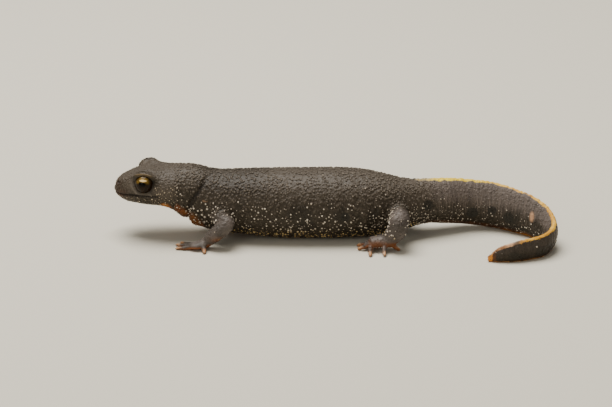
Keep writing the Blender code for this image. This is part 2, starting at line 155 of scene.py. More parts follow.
def bell(value, reach):
    """A bell curve: 1 where the value is 0, and about a third where it equals the reach."""
    return np.exp(-(value / reach) ** 2)


spine_points, spine_places = along([(x, y, 0) for x, y in SPINE], SPINE_STEPS)
spine_places = spine_places * TAIL_TIP / spine_places[-1]
spine_back = np.gradient(spine_points[:, :2], axis=0)
spine_back /= np.linalg.norm(spine_back, axis=1, keepdims=True)
spine_left = np.column_stack([spine_back[:, 1], -spine_back[:, 0]])


def spine_at(places):
    """The spine's own x and y at these places, and the direction to the newt's left."""
    return [
        np.stack([np.interp(places, spine_places, column) for column in table[:, :2].T], axis=-1)
        for table in (spine_points, spine_left)
    ]


def body_point(place, side, height):
    """Point at a distance to one side of the spine, and a height. The right side is positive."""
    centre, left = spine_at(place)
    return np.array([*(centre - side * left), height])


def on_hand(hand, spot):
    """A point given by its place, side and height: on the right for 1 and on the left for -1."""
    place, side, height = spot
    return body_point(place, hand * side, height)


def body_turned(place, backwards, rightwards, upwards):
    """A direction given along the spine, to the newt's right and up, in the model's frame."""
    _, left = spine_at(place)
    ahead = -backwards * left[1] - rightwards * left[0]
    aside = backwards * left[0] - rightwards * left[1]
    return np.array([ahead, aside, upwards])


def body_surface(places, turns):
    """Body points on a grid of place by turn.

    Sideways: half width times the cosine of the turn to the power of the pinch. Upright:
    from the widest level to the back or the underside by the sine of the turn. A pinched
    section keeps a round rim. Bells of the distance to a point raise the swellings.
    """
    centre, left = spine_at(places)
    underside, level, back, half, pinch = smooth(GIRTH, places).T[:, :, None]
    cos, sin = np.cos(turns)[None, :], np.sin(turns)[None, :]
    rim = 0.22 * np.clip((pinch - 1) / 0.5, 0, 1)
    side = np.sign(cos) * ((half - rim) * np.abs(cos) ** pinch + rim * np.abs(cos) ** 0.4)
    upright = np.abs(sin) ** (0.9 + 0.1 * np.clip(pinch, 0, 1))
    height = level + upright * np.where(sin > 0, back - level, underside - level)
    lean = np.interp(places, *zip(*TAIL_LEAN))[:, None]
    across = side - lean * (height - 2 * level)
    points = np.empty((*side.shape, 3))
    points[..., :2] = centre[:, None, :] + across[..., None] * left[:, None, :]
    points[..., 2] = height
    for place, out, up, reach, rise_x, rise_y, rise_z in SWELLINGS:
        for hand in (-1, 1):
            away = np.linalg.norm(points - on_hand(hand, (place, out, up)), axis=-1)
            rise = body_turned(place, rise_x, hand * rise_y, rise_z)
            points += bell(away, reach)[..., None] * rise
    points[..., 2] = np.maximum(points[..., 2], 0)
    return points


head_rows = np.arange(FIRST_ROW, HEAD_ROWS_TO, HEAD_ROW_GAP)
body_rows = np.append(head_rows, np.linspace(HEAD_ROWS_TO, TAIL_TIP - FIRST_ROW, BODY_ROWS))
grids = [body_surface(body_rows, round_angles(BODY_SIDES))]

# The legs and feet under the skin.
# Each leg is a tube from inside the body over the elbow or knee to the wrist or ankle. A
# flat palm follows, with four slim toes on each forefoot and five on each hindfoot.

# Bones are x, y, z and radius, palms x, y, z and two half axes, and toes the place of the base
# and x and y of the tip. All are counted from the tip of the snout, on the floor.
LEGS = {
    "foreleg_left": {
        "bones": (
            (19.0, -2.6, 5.9, 1.8),
            (19.3, -5.4, 5.5, 1.6),
            (21.1, -8.1, 4.8, 1.35),
            (19.2, -8.4, 3.2, 1.4),
            (17.5, -8.0, 1.5, 1.0),
        ),
        "palm": ((16.0, -8.5, 0.95, 1.3, 0.72), (14.7, -8.5, 0.8, 1.15, 0.55)),
        "toes": (
            (14.9, -7.6, 0.75, 12.4, -5.4),
            (14.4, -8.1, 0.7, 11.6, -6.5),
            (14.4, -8.8, 0.7, 11.6, -8.5),
            (16.9, -9.3, 0.9, 17.0, -11.0),
        ),
    },
    "foreleg_right": {
        "bones": (
            (19.0, 2.6, 5.9, 1.8),
            (19.9, 5.4, 5.9, 1.65),
            (22.7, 8.0, 5.2, 1.35),
            (21.5, 8.9, 3.2, 1.3),
            (19.7, 9.2, 1.5, 0.95),
        ),
        "palm": ((18.4, 9.6, 0.95, 1.2, 0.72), (17.2, 9.9, 0.8, 1.1, 0.55)),
        "toes": (
            (17.3, 9.0, 0.75, 15.6, 7.2),
            (16.9, 9.6, 0.7, 14.3, 8.8),
            (17.0, 10.3, 0.7, 14.7, 11.1),
            (18.7, 10.4, 0.85, 18.2, 12.7),
        ),
    },
    "hindleg_left": {
        "bones": (
            (53.0, -1.6, 6.4, 1.9),
            (53.0, -4.9, 5.7, 1.8),
            (52.7, -9.2, 5.2, 1.8),
            (52.3, -9.3, 3.8, 1.7),
            (51.3, -9.0, 2.5, 1.4),
        ),
        "palm": ((49.6, -8.7, 1.8, 1.5, 1.1), (47.7, -8.9, 1.6, 1.4, 1.0)),
        "toes": (
            (47.4, -8.2, 1.4, 45.1, -7.0),
            (47.3, -9.0, 1.2, 45.2, -8.9),
            (47.5, -9.6, 1.3, 47.5, -12.4),
            (50.1, -9.5, 1.6, 50.1, -12.4),
            (51.7, -9.4, 1.3, 53.0, -9.4),
        ),
    },
    "hindleg_right": {
        "bones": (
            (53.0, 1.6, 6.4, 1.9),
            (53.1, 4.9, 5.7, 1.8),
            (53.9, 9.3, 5.2, 1.65),
            (53.3, 9.6, 3.8, 1.55),
            (52.2, 9.6, 2.5, 1.4),
        ),
        "palm": ((50.6, 9.6, 1.7, 1.5, 1.0), (48.8, 9.9, 1.5, 1.4, 0.9)),
        "toes": (
            (48.6, 8.9, 1.3, 46.9, 7.5),
            (48.2, 9.8, 1.2, 45.9, 9.9),
            (48.4, 10.6, 1.2, 47.2, 13.2),
            (50.2, 10.7, 1.5, 50.3, 14.1),
            (52.1, 10.4, 1.6, 53.6, 12.3),
        ),
    },
}
LIMB_SIDES, TOE_SIDES = 40, 24
LEG_STEPS, PALM_STEPS, TOE_STEPS = 60, 30, 24
TOE_RADIUS, TOE_TIP_RADIUS, TOE_TIP_HEIGHT = 0.45, 0.3, 0.24
# How much a toe swells at its two joints, how far along each is, and how long.
TOE_JOINTS = ((0.05, 0.45, 0.1), (0.04, 0.75, 0.08))
# How far past the palm its blunt front runs, and how thick it still is.
PALM_FRONT = ((0.0, 1), (0.35, 0.85), (0.6, 0.5))


def tube(points, across, upright, sides):
    """Points round a path: an ellipse of half axes across and upright, square to the path."""
    steps = np.gradient(points, axis=0)
    steps /= np.linalg.norm(steps, axis=1, keepdims=True)
    level = np.cross(steps, (0.0, 0.0, 1.0))
    level /= np.linalg.norm(level, axis=1, keepdims=True)
    up = np.cross(level, steps)
    turn = round_angles(sides)
    ring = np.cos(turn)[None, :, None] * (across[:, None] * level)[:, None, :]
    ring = ring + np.sin(turn)[None, :, None] * (upright[:, None] * up)[:, None, :]
    return points[:, None, :] + ring


limb_axes, toe_axes = [], []
for leg in LEGS.values():
    bones, _ = along(leg["bones"], LEG_STEPS)
    grids.append(tube(bones[:, :3], bones[:, 3], bones[:, 3], LIMB_SIDES))
    limb_axes.append(bones)
    wrist = leg["bones"][-1]
    ahead = bones[-1, :3] - bones[-3, :3]
    ahead /= np.linalg.norm(ahead)
    start = [(*(bones[-1, :3] + ahead * far), wrist[3], wrist[3]) for far in (-0.3, 0.5)]
    palm, _ = along([*start, *leg["palm"]], PALM_STEPS)
    grids.append(tube(palm[:, :3], palm[:, 3], palm[:, 4], LIMB_SIDES))
    front, before = palm[-1], palm[-4]
    blunt = np.array([
        [*(front + (front - before) * far)[:3], front[3] * size, front[4] * size]
        for far, size in PALM_FRONT
    ])
    grids.append(tube(blunt[:, :3], blunt[:, 3], blunt[:, 4], LIMB_SIDES))
    limb_axes.append(palm[:, :4])
    for base_x, base_y, base_z, tip_x, tip_y in leg["toes"]:
        base, tip = np.array([base_x, base_y, base_z]), np.array([tip_x, tip_y, TOE_TIP_HEIGHT])
        inner = base + (base - tip) * np.array([0.12, 0.12, 0])
        knuckle = base + (tip - base) * 0.6 + np.array([0, 0, -0.08])
        toe, far = along([inner, knuckle, tip, tip + (tip - knuckle) * 0.12], TOE_STEPS)
        far = far / far[-1]
        thick = TOE_RADIUS + (TOE_TIP_RADIUS - TOE_RADIUS) * far
        for swelling, middle, reach in TOE_JOINTS:
            thick = thick + swelling * bell(far - middle, reach)
        thick = thick * np.sqrt(np.clip((1.04 - far) / 0.16, 0, 1))
        grids.append(tube(toe, thick, thick, TOE_SIDES))
        toe_axes.append((toe, tip))

# The eye sockets and lids under the skin.
# Round each eye the head swells into a ball that is a little wider than the eye, with a flat
# lens of lid set outward and up from it.

# Where the eyes are, as place, side and height, and the way they look: back, outwards and up.
EYE_RADIUS = 1.9
EYE_AT = (6.15, 3.45, 10.95)
EYE_LOOKS = (-0.1, 0.96, 0.24)
SOCKET_WALL = 0.25
LID_REACH, LID_THICK, LID_OUT, LID_UP = 2.25, 0.5, 0.7, 0.38


def ball(centre, radius):
    """Points of a sphere on a grid of latitude by longitude."""
    latitude, longitude = np.radians(np.linspace(-88, 88, 40)), round_angles(60)
    ring, rise = np.cos(latitude)[:, None], np.sin(latitude)[:, None]
    parts = [ring * np.cos(longitude), ring * np.sin(longitude), rise + 0 * longitude]
    return np.array(centre) + radius * np.stack(parts, axis=-1)


def eye_at(hand):
    """Centre of an eye and the way it looks. The right hand is 1 and the left -1."""
    backwards, outwards, upwards = EYE_LOOKS
    look = body_turned(EYE_AT[0], backwards, hand * outwards, upwards)
    return on_hand(hand, EYE_AT), look / np.linalg.norm(look)


for hand in (-1, 1):
    eye, look = eye_at(hand)
    grids.append(ball(eye, EYE_RADIUS + SOCKET_WALL))
    lid = ball((0, 0, 0), LID_REACH)
    along_look = lid @ look
    lid = lid - (along_look * (1 - LID_THICK / LID_REACH))[..., None] * look
    grids.append(eye + look * LID_OUT + (0, 0, LID_UP) + lid)

# One skin over all of them.
# The forms are kept above the floor and joined into one closed surface, which then gets its
# folds, lids, small warts and colours. It is moist, warty skin, and it hides every joint.

VOXEL = 0.25


def closed_tube(grid, first):
    """Vertices and faces of a grid that joins up round its columns, with a fan at each end.

    The faces count their vertices from the first one on.
    """
    rows, columns = grid.shape[:2]
    points = np.concatenate([grid.reshape(-1, 3), grid[:1].mean(1), grid[-1:].mean(1)])
    row, column = np.mgrid[0:rows - 1, 0:columns]
    here, beside = row * columns + column, row * columns + (column + 1) % columns
    quads = np.stack([here, beside, beside + columns, here + columns], -1).reshape(-1, 4)
    edge = np.arange(columns)
    turned = (edge + 1) % columns
    last = (rows - 1) * columns
    centre = 0 * edge + rows * columns
    fans = np.concatenate([
        np.stack([turned, edge, centre], -1),
        np.stack([edge + last, turned + last, centre + 1], -1),
    ])
    return points, quads + first, fans + first


def shown(name, data):
    """A new object of this name, linked into the scene."""
    made = bpy.data.objects.new(name, data)
    bpy.context.scene.collection.objects.link(made)
    return made


points, squares, fans, first = [], [], [], 0
for grid in grids:
    grid = np.concatenate([grid[..., :2], np.maximum(grid[..., 2:], 0)], axis=-1)
    more_points, more_squares, more_fans = closed_tube(grid, first)
    points.append(more_points)
    squares += more_squares.tolist()
    fans += more_fans.tolist()
    first += len(more_points)
form = bpy.data.meshes.new("newt_form")
form.from_pydata(((np.concatenate(points) + SNOUT_AT) * MM).tolist(), [], squares + fans)
form_object = shown("newt_form", form)
remesh = form_object.modifiers.new("one surface", "REMESH")
remesh.mode = "VOXEL"
remesh.voxel_size = VOXEL * MM
graph = bpy.context.evaluated_depsgraph_get()
skin_mesh = bpy.data.meshes.new_from_object(form_object.evaluated_get(graph))
skin_mesh.name = "skin"
bpy.data.objects.remove(form_object)

# The skin is twice as fine on the head, for the lids, nostrils and mouth.
HEAD_FINE_TO = 12.0

work = bmesh.new()
work.from_mesh(skin_mesh)
edge_x = (SNOUT_AT[0] + HEAD_FINE_TO) * MM
on_fine_part = [edge for edge in work.edges if max(end.co.x for end in edge.verts) < edge_x]
bmesh.ops.subdivide_edges(work, edges=on_fine_part, cuts=1, use_grid_fill=True)
bmesh.ops.triangulate(work, faces=work.faces)
work.to_mesh(skin_mesh)
work.free()


def read(rows, name):
    """One vector for each row of a mesh's table, as an array."""
    flat = np.empty(len(rows) * 3, np.float32)
    rows.foreach_get(name, flat)
    return flat.reshape(-1, 3).astype(float)


def put(mesh, points):
    """Moves a mesh's vertices to these points, and gives the normals that follow."""
    mesh.vertices.foreach_set("co", ((points + SNOUT_AT) * MM).astype(np.float32).ravel())
    mesh.update()
    return read(mesh.vertex_normals, "vector")


def relaxed(points, edges, rounds, amount):
    """Points drawn towards the mean of their neighbours, by the amount, some rounds over."""
    count = np.bincount(edges.ravel(), minlength=len(points))[:, None]
    for _ in range(rounds):
        total = np.zeros_like(points)
        for axis in range(points.shape[1]):
            for here, there in ((0, 1), (1, 0)):
                total[:, axis] += np.bincount(edges[:, here], points[edges[:, there], axis], len(points))
        points = points + (total / count - points) * amount
    return points


def stepped(low, high, value):
    """0 below low, 1 above high, and a smooth step between."""
    t = np.clip((value - low) / (high - low), 0, 1)
    return t * t * (3 - 2 * t)


def away_from(points, spot):
    """Distance of each point from one spot."""
    return np.linalg.norm(points - spot, axis=1)


def near_axis(points, axis):
    """Distance of points from a path whose rows are x, y, z, and the row number of the nearest."""
    best, row = np.full(len(points), 1e9), np.zeros(len(points), int)
    for index, spot in enumerate(axis[:, :3]):
        away = ((points - spot) ** 2).sum(1)
        row = np.where(away < best, index, row)
        best = np.minimum(best, away)
    return np.sqrt(best), row


# The steps that the joining leaves are smoothed away. Each round draws the points in and then
# pushes them back out, so that slim parts keep their size.
SMOOTHING_ROUNDS, DRAWN_IN, PUSHED_OUT = 7, 0.5, -0.52
edges = np.empty(len(skin_mesh.edges) * 2, np.int32)
skin_mesh.edges.foreach_get("vertices", edges)
edges = edges.reshape(-1, 2)
at = read(skin_mesh.vertices, "co") / MM - SNOUT_AT
for _ in range(SMOOTHING_ROUNDS):
    at = relaxed(relaxed(at, edges, 1, DRAWN_IN), edges, 1, PUSHED_OUT)

# Where each point of the skin lies: on the body, a leg, a palm or a toe.
SPINE_SKIP, AT_ONCE = 3, 20000
body_row = np.empty(len(at), int)
for start in range(0, len(at), AT_ONCE):
    off_spine = at[start:start + AT_ONCE, None, :2] - spine_points[None, ::SPINE_SKIP, :2]
    body_row[start:start + AT_ONCE] = (off_spine ** 2).sum(-1).argmin(1) * SPINE_SKIP
place = spine_places[body_row]
across = ((at[:, :2] - spine_points[body_row, :2]) * spine_left[body_row]).sum(1)
underside, level, back, half, pinch = smooth(GIRTH, place).T
climb = (at[:, 2] - level) / np.where(at[:, 2] > level, back - level, level - np.maximum(underside, 0))

limb = np.zeros(len(at))
for axis in limb_axes:
    away, row = near_axis(at, axis)
    limb = np.maximum(limb, stepped(1.35, 1.1, away / axis[row, 3]))
outside = np.hypot(across / half, climb)
limb = limb * stepped(1.04, 1.45, outside)
toe_tip = np.zeros(len(at))
for axis, tip in toe_axes:
    away, row = near_axis(at, axis)
    limb = np.maximum(limb, stepped(0.9, 0.6, away))
    toe_tip = np.maximum(toe_tip, stepped(1.4, 0.5, away_from(at, tip)))

# Shoulders and hips run softly into the body.
JOINT_REACH, JOINT_ROUNDS = 2.7, 60
joint = np.zeros(len(at))
for leg in LEGS.values():
    away = away_from(at, leg["bones"][1][:3])
    joint = np.maximum(joint, np.exp(-(away / JOINT_REACH) ** 4))
soft = relaxed(at, edges, JOINT_ROUNDS, 0.5)
at = at + (soft - at) * joint[:, None]
normal = put(skin_mesh, at)

# The brows are full domes on their inner side too.
BROW_FILL, BROW_FILL_AT, BROW_FILL_REACH = 0.3, (6.6, 2.75, 13.2), 0.95
brow_fill = np.zeros(len(at))
for hand in (-1, 1):
    away = away_from(at, on_hand(hand, BROW_FILL_AT))
    brow_fill = np.maximum(brow_fill, bell(away, BROW_FILL_REACH))
at[:, 2] += BROW_FILL * brow_fill

# The mouth is a fold that runs back under the eye, with a slight lip on either side.
MOUTH_DEPTH, MOUTH_CORNER, LIP_HEIGHT = 0.24, 9.8, 0.1
MOUTH_LEVEL = ((0, 8.5), (1.5, 8.6), (4, 8.85), (6, 8.92), (9, 8.95), (10, 8.85))
head = stepped(13.5, 11.0, place) * (1 - limb)
mouth_level = np.interp(place, *zip(*MOUTH_LEVEL))
off_mouth = at[:, 2] - mouth_level
mouth = bell(off_mouth, 0.13) * stepped(MOUTH_CORNER, MOUTH_CORNER - 1.6, place) * head
lips = bell(np.abs(off_mouth) - 0.38, 0.22) * stepped(MOUTH_CORNER, 6, place) * head
at = at + normal * (LIP_HEIGHT * lips - MOUTH_DEPTH * mouth)[:, None]

# A blunt ridge runs from each nostril up to the brow.
RIDGE_HEIGHT, RIDGE_STEPS = 0.2, 12
RIDGE_FROM, RIDGE_TO = (1.4, 1.9, 10.9), (5.0, 2.85, 12.75)
ridge = np.zeros(len(at))
for hand in (-1, 1):
    line = np.linspace(0, 1, RIDGE_STEPS)[:, None]
    path = on_hand(hand, RIDGE_FROM) * (1 - line) + on_hand(hand, RIDGE_TO) * line
    away, row = near_axis(at, path)
    far = row / (RIDGE_STEPS - 1)
    ridge = np.maximum(ridge, (0.5 + far) * bell(away, 0.36 + 0.3 * far))
at = at + normal * (RIDGE_HEIGHT * ridge)[:, None]

# Nostrils are small pits near the tip of the snout.
NOSTRIL_AT, NOSTRIL_DEPTH = (1.0, 1.7, 10.4), 0.45
NOSTRIL_REACH, NOSTRIL_STRETCH = 0.3, (1.3, 1.1, 0.8)
nostril = np.zeros(len(at))
for hand in (-1, 1):
    off = (at - on_hand(hand, NOSTRIL_AT)) / NOSTRIL_STRETCH
    nostril = np.maximum(nostril, bell(np.linalg.norm(off, axis=1), NOSTRIL_REACH))
at = at - normal * (NOSTRIL_DEPTH * nostril)[:, None]

# The lids are the swollen skin round each eye. The eye looks out of a round opening in
# them, cut off above by the edge of the upper lid, and a fine rim runs round it.
LID_EDGE_TILT = np.radians(56)
# In degrees from the way the eye looks: the opening above and below, how much wider it is at
# the level of the eye, how low the upper lid's edge cuts it, and the rim's middle and reach.
OPENING, WIDER_AT_LEVEL, LID_CUT, RIM_OUT, RIM_REACH = 69, 9, 5, 3.2, 2.8
RIM_HEIGHT, RIM_RISE = 0.06, 0.08
EYE_GAP, EYE_SINK = 0.12, 0.45
lid_rim, lid_open, lid_low, lid_top = np.zeros((4, len(at)))
for hand in (-1, 1):
    eye, look = eye_at(hand)
    up = np.cross(np.cross(look, (0, 0, 1)), look)
    up /= np.linalg.norm(up)
    out = at - eye
    away = np.linalg.norm(out, axis=1)
    unit = out / away[:, None]
    angle = np.degrees(np.arccos(np.clip(unit @ look, -1, 1)))
    rise = (unit @ up) / np.maximum(np.sin(np.radians(angle)), 1e-3)
    opening = OPENING + WIDER_AT_LEVEL * (1 - rise ** 2) ** 2
    edge = unit @ (up * np.cos(LID_EDGE_TILT) - look * np.sin(LID_EDGE_TILT))
    angle = np.maximum(angle, opening + LID_CUT + np.degrees(np.arcsin(np.clip(edge, -1, 1))))
    near = stepped(EYE_RADIUS + 1.1, EYE_RADIUS + 0.7, away)
    inside = stepped(opening + 1.2, opening - 1.2, angle) * near
    rim = bell(angle - opening - RIM_OUT, RIM_REACH) * near
    over_eye = np.maximum(away, EYE_RADIUS + EYE_GAP)
    wanted = (1 - inside) * over_eye + inside * (EYE_RADIUS - EYE_SINK)
    wanted = np.where(inside > 0, wanted, away)
    lid_height = RIM_HEIGHT + RIM_RISE * stepped(0.0, 0.6, rise)
    wanted = away + (wanted + lid_height * rim * (1 - inside) - away) * near
    at = eye + unit * wanted[:, None]
    rim = rim * (1 - inside)
    lid_rim = np.maximum(lid_rim, rim)
    lid_open = np.maximum(lid_open, stepped(0.3, 1.0, inside))
    lid_low = np.maximum(lid_low, rim * stepped(0.1, -0.3, rise))
    lid_top = np.maximum(lid_top, rim * stepped(0.55, 0.95, rise))
normal = put(skin_mesh, at)

# Folds: the gular fold across the throat and up the neck, creases down the flanks where
# the ribs lie, and close upright creases along the upper half of the tail.
FOLD_DEPTH, RIB_GAP, RIB_HEIGHT, PLEAT_GAP, PLEAT_HEIGHT = 0.42, 2.75, 0.05, 1.15, 0.03
# Height, and the place where the fold of the throat and neck runs there.
FOLD = ((3, 13.6), (5, 14.0), (8.5, 14.9), (11, 16.6), (12.5, 17.6))
fold_place = np.interp(at[:, 2], *zip(*FOLD))
fold = bell(place - fold_place, 0.42) * stepped(12.8, 10.5, at[:, 2]) * (1 - limb)
ribs = np.cos(2 * np.pi * (place - 22) / RIB_GAP) * stepped(21, 25, place) * stepped(52, 48, place)
ribs = ribs * stepped(0.98, 0.6, np.abs(climb)) * (1 - limb)
tail = stepped(56, 62, place) * (1 - limb)
pleats = 1.6 * np.cos(2 * np.pi * place / PLEAT_GAP + 2.5 * np.sin(place * 0.9))
pleats = pleats * tail * stepped(-0.2, 0.5, climb) * stepped(101, 96, place)
relief = -FOLD_DEPTH * fold + RIB_HEIGHT * ribs + PLEAT_HEIGHT * pleats
at = at + normal * relief[:, None]

# Warts cover the skin. A random height at each point, smoothed over its neighbours, less
# the same smoothed more, gives bumps of one size. A wart stands wherever one is highest.
BUMP_SEED = 7
draw = np.random.default_rng(BUMP_SEED).normal(size=(len(at), 1))
small = relaxed(draw, edges, 1, 0.9) - relaxed(draw, edges, 5, 0.9)
small_on_head = relaxed(draw, edges, 2, 0.9) - relaxed(draw, edges, 8, 0.9)
on_head = stepped(HEAD_FINE_TO + 0.2, HEAD_FINE_TO - 0.2, place) * (at[:, 0] < HEAD_FINE_TO)
bumps = small[:, 0] / small.std() * (1 - on_head)
bumps = bumps + small_on_head[:, 0] / small_on_head[on_head > 0.5].std() * on_head
highest = np.full(len(at), -99.0)
np.maximum.at(highest, edges[:, 0], bumps[edges[:, 1]])
np.maximum.at(highest, edges[:, 1], bumps[edges[:, 0]])

# They are smaller on the legs, tail, brows and chin, and the lids, mouth, nostrils and the
# tail's upper edge are bare.
BUMP_HEIGHT = 0.03
BROW_AT = (6.9, 3.5, 12.6)
brow = np.zeros(len(at))
for hand in (-1, 1):
    away = away_from(at, on_hand(hand, BROW_AT))
    brow = np.maximum(brow, stepped(2.7, 1.5, away))
chin = stepped(-0.4, -0.8, climb) * stepped(12, 10, place)
bare = (1 - lid_open) * (1 - np.clip(mouth * 2, 0, 1)) * (1 - np.clip(nostril * 3, 0, 1))
edge_band = tail * stepped(0.82, 0.93, climb)
size = (1 - 0.4 * limb) * (1 - 0.45 * tail) * (1 - 0.35 * stepped(9, 1, place)) * stepped(-1.0, -0.8, climb)
size = size * (1 - toe_tip) * bare * (1 - lid_rim) * (1 - edge_band) * (1 - 0.75 * brow) * (1 - 0.6 * chin)
at = at + normal * (BUMP_HEIGHT * np.clip(bumps, -1.5, 1.5) * size)[:, None]

# The tail's upper edge is faintly notched.
NOTCH_DEPTH, NOTCH_GAP = 0.035, 1.3
notches = np.cos(2 * np.pi * place / NOTCH_GAP + 1.5 * np.sin(place * 1.7))
at[:, 2] += edge_band * NOTCH_DEPTH * notches * stepped(102, 98, place)
at[:, 2] = np.maximum(at[:, 2], 0)
normal = put(skin_mesh, at)

# Colours: dark brown skin, greyer on the back, an orange belly with black blotches, an orange
# throat, a yellow upper and a rusty lower edge to the tail, grey legs, orange soles and toes,
# with painted light and shade on the warts, folds, flanks, tail and head.
# The marks are amounts at each vertex that the material reads. Most follow the place and the
# climb, which is -1 on the underside and 1 on the back, and some have a ragged edge.
ragged = 0.5 * np.sin(place * 2.1 + 1.3 * np.sin(place * 0.83)) * np.cos(across * 1.7 + place * 0.6)
belly_edge = -0.965 + 0.05 * ragged
belly = stepped(belly_edge + 0.05, belly_edge - 0.05, climb)
belly = belly * stepped(6.5, 9.5, place) * stepped(51, 47, place) * (1 - limb)
# Place, and the climb up to which the throat is orange.
THROAT = (
    (8.5, -0.9), (9.6, -0.5), (10.8, -0.55), (11.4, -0.75), (12.1, -0.36),
    (13.5, -0.4), (14.1, -0.6), (15.1, -0.42), (16.2, -0.62), (17, -0.95),
)
throat_edge = np.interp(place, *zip(*THROAT)) + 0.12 * ragged
throat = stepped(throat_edge + 0.12, throat_edge - 0.12, climb)
throat = throat * stepped(8.0, 10.0, place) * stepped(18.5, 16.5, place) * (1 - limb)
# Place, and the climb from which the tail's upper edge is yellow.
BAND = (
    (55, 0.99), (57, 0.97), (60, 0.95), (62, 0.94), (70, 0.945), (73, 0.965),
    (78, 0.96), (83, 0.92), (87, 0.87), (92, 0.87), (98, 0.80), (103, 0.66),
)
band_edge = np.interp(place, *zip(*BAND))
yellow_edge = stepped(-0.08, 0.08, climb + 0.04 * ragged - band_edge)
yellow_edge = yellow_edge * stepped(54.5, 57.5, place) * (1 - limb)
under_edge = stepped(54, 60, place) * (1 - limb) * stepped(-0.6, -0.98, climb)
tip = stepped(101.0, 102.6, place)
hind = place > 40
sole_height = np.where(hind, 2.3, 1.5)
facing_down = stepped(np.where(hind, 0.75, 0.35), np.where(hind, 0.1, -0.15), normal[:, 2])
sole = limb * facing_down * stepped(sole_height, sole_height - 0.8, at[:, 2])

# Two rusty patches: on the left hind foot and at the left wrist.
for middle, reach, amount in (
    ((48.9, -9.9, 1.6), (1.5, 1.2, 0.5), 1.0),
    ((19.6, -9.5, 2.2), (1.3, 1.2, 0.6), 0.45),
):
    away = np.linalg.norm((at - middle) / reach, axis=1)
    sole = np.maximum(sole, amount * np.exp(-away ** 2) * limb)

# Single pale marks: a bar on the neck behind the fold, and a peach mark on the tail.
pale_mark = np.zeros(len(at))
for middle, reach, amount in (
    ((17.0, -5.35, 8.44), (0.5, 0.8, 0.13), 0.4),
    ((77.75, -3.06, 4.45), (0.42, 0.6, 0.95), 1.0),
):
    away = np.linalg.norm((at - middle) / reach, axis=1)
    pale_mark = np.maximum(pale_mark, amount * stepped(1.35, 0.6, away))

# Round black spots along the lower half of the tail, and one on the flank.
dark_spot = np.zeros(len(at))
for middle, reach in (
    ((43.0, -7.0, 5.8), 0.9),
    ((58.4, -2.2, 6.5), 1.0),
    ((66.9, 1.2, 3.7), 1.1),
    ((70.6, 1.0, 4.3), 0.9),
    ((73.6, -0.5, 3.2), 1.1),
):
    away = away_from(at, middle) / reach
    dark_spot = np.maximum(dark_spot, stepped(1.4, 0.6, away))

# The head is paler before each eye and on the cheeks, and darker round the tip of the snout.
# Just behind each eye it is darker with painted shade of the socket. Each row is a place and
# height, their reaches, and an amount.
shade = np.zeros(len(at))
for middle, reach, amount in (
    ((3.5, 10.3), (0.9, 1.0), 1.8),
    ((10.0, 9.9), (2.7, 1.6), 2.0),
    # Painted shade behind the eye.
    ((8.55, 11.3), (0.7, 0.7), -1.6),
    ((0.6, 10.2), (0.9, 1.5), -2.4),
):
    away = ((place - middle[0]) / reach[0]) ** 2 + ((at[:, 2] - middle[1]) / reach[1]) ** 2
    shade = shade + amount * np.exp(-away) * stepped(0.45, 0.7, np.abs(across) / half) * head

# Painted shade darkens the skin along the fold and over the tops of the shoulders, and a
# painted highlight makes the ridges of the snout paler. The root of the tail is paler above.
fold_band_shade = bell(place - fold_place + 0.3, 0.9) * stepped(12.3, 10.8, at[:, 2])
shade = shade - 0.8 * fold_band_shade * (1 - limb)
shade = shade + 0.6 * ridge * head
shade = shade + 0.8 * stepped(52, 56, place) * stepped(66, 60, place) * stepped(-0.3, 0.3, climb)
shade = shade - 1.3 * stepped(14.5, 18, place) * stepped(31, 25, place) * stepped(0.3, 0.7, climb)
lip_rust = 0.6 * bell(at[:, 2] - mouth_level + 0.2, 1.0) * stepped(4.5, 1.5, place)
snout_tip = bell(place - 0.5, 0.8) * bell(at[:, 2] - 10.3, 1.0)
lip_rust = np.maximum(lip_rust, 0.8 * snout_tip) * head

marks = {
    "belly": belly,
    "throat": throat,
    "yellow_edge": yellow_edge,
    "under_edge": np.maximum(under_edge, tip),
    "limb": limb * (0.2 + 0.8 * stepped(5.4, 8.0, np.abs(across))),
    "toe": toe_tip,
    "sole": sole,
    # Painted highlight on the tops of the bumps and painted shade between them.
    "wart": np.clip(0.25 + 0.2 * bumps, 0, 1) * size,
    # Painted shade in the mouth, nostrils, throat fold and eye openings.
    "crease_shade": np.clip(0.8 * mouth + 1.3 * nostril + 0.7 * fold + lid_open, 0, 1),
    "pale_mark": pale_mark,
    "dark_spot": dark_spot,
    "lid": lid_low,
    "lid_top": lid_top,
    "shade": shade,
    "lip_rust": lip_rust,
    "climb": climb,
    "place": place,
    "tail": tail,
}


def keep_mark(mesh, name, values):
    """Stores one number for each vertex, under a name that the materials read."""
    layer = mesh.attributes.new(name, "FLOAT", "POINT")
    layer.data.foreach_set("value", values.astype(np.float32))


for name, values in marks.items():
    keep_mark(skin_mesh, name, values)
skin_mesh.shade_smooth()
skin = shown("newt_skin", skin_mesh)


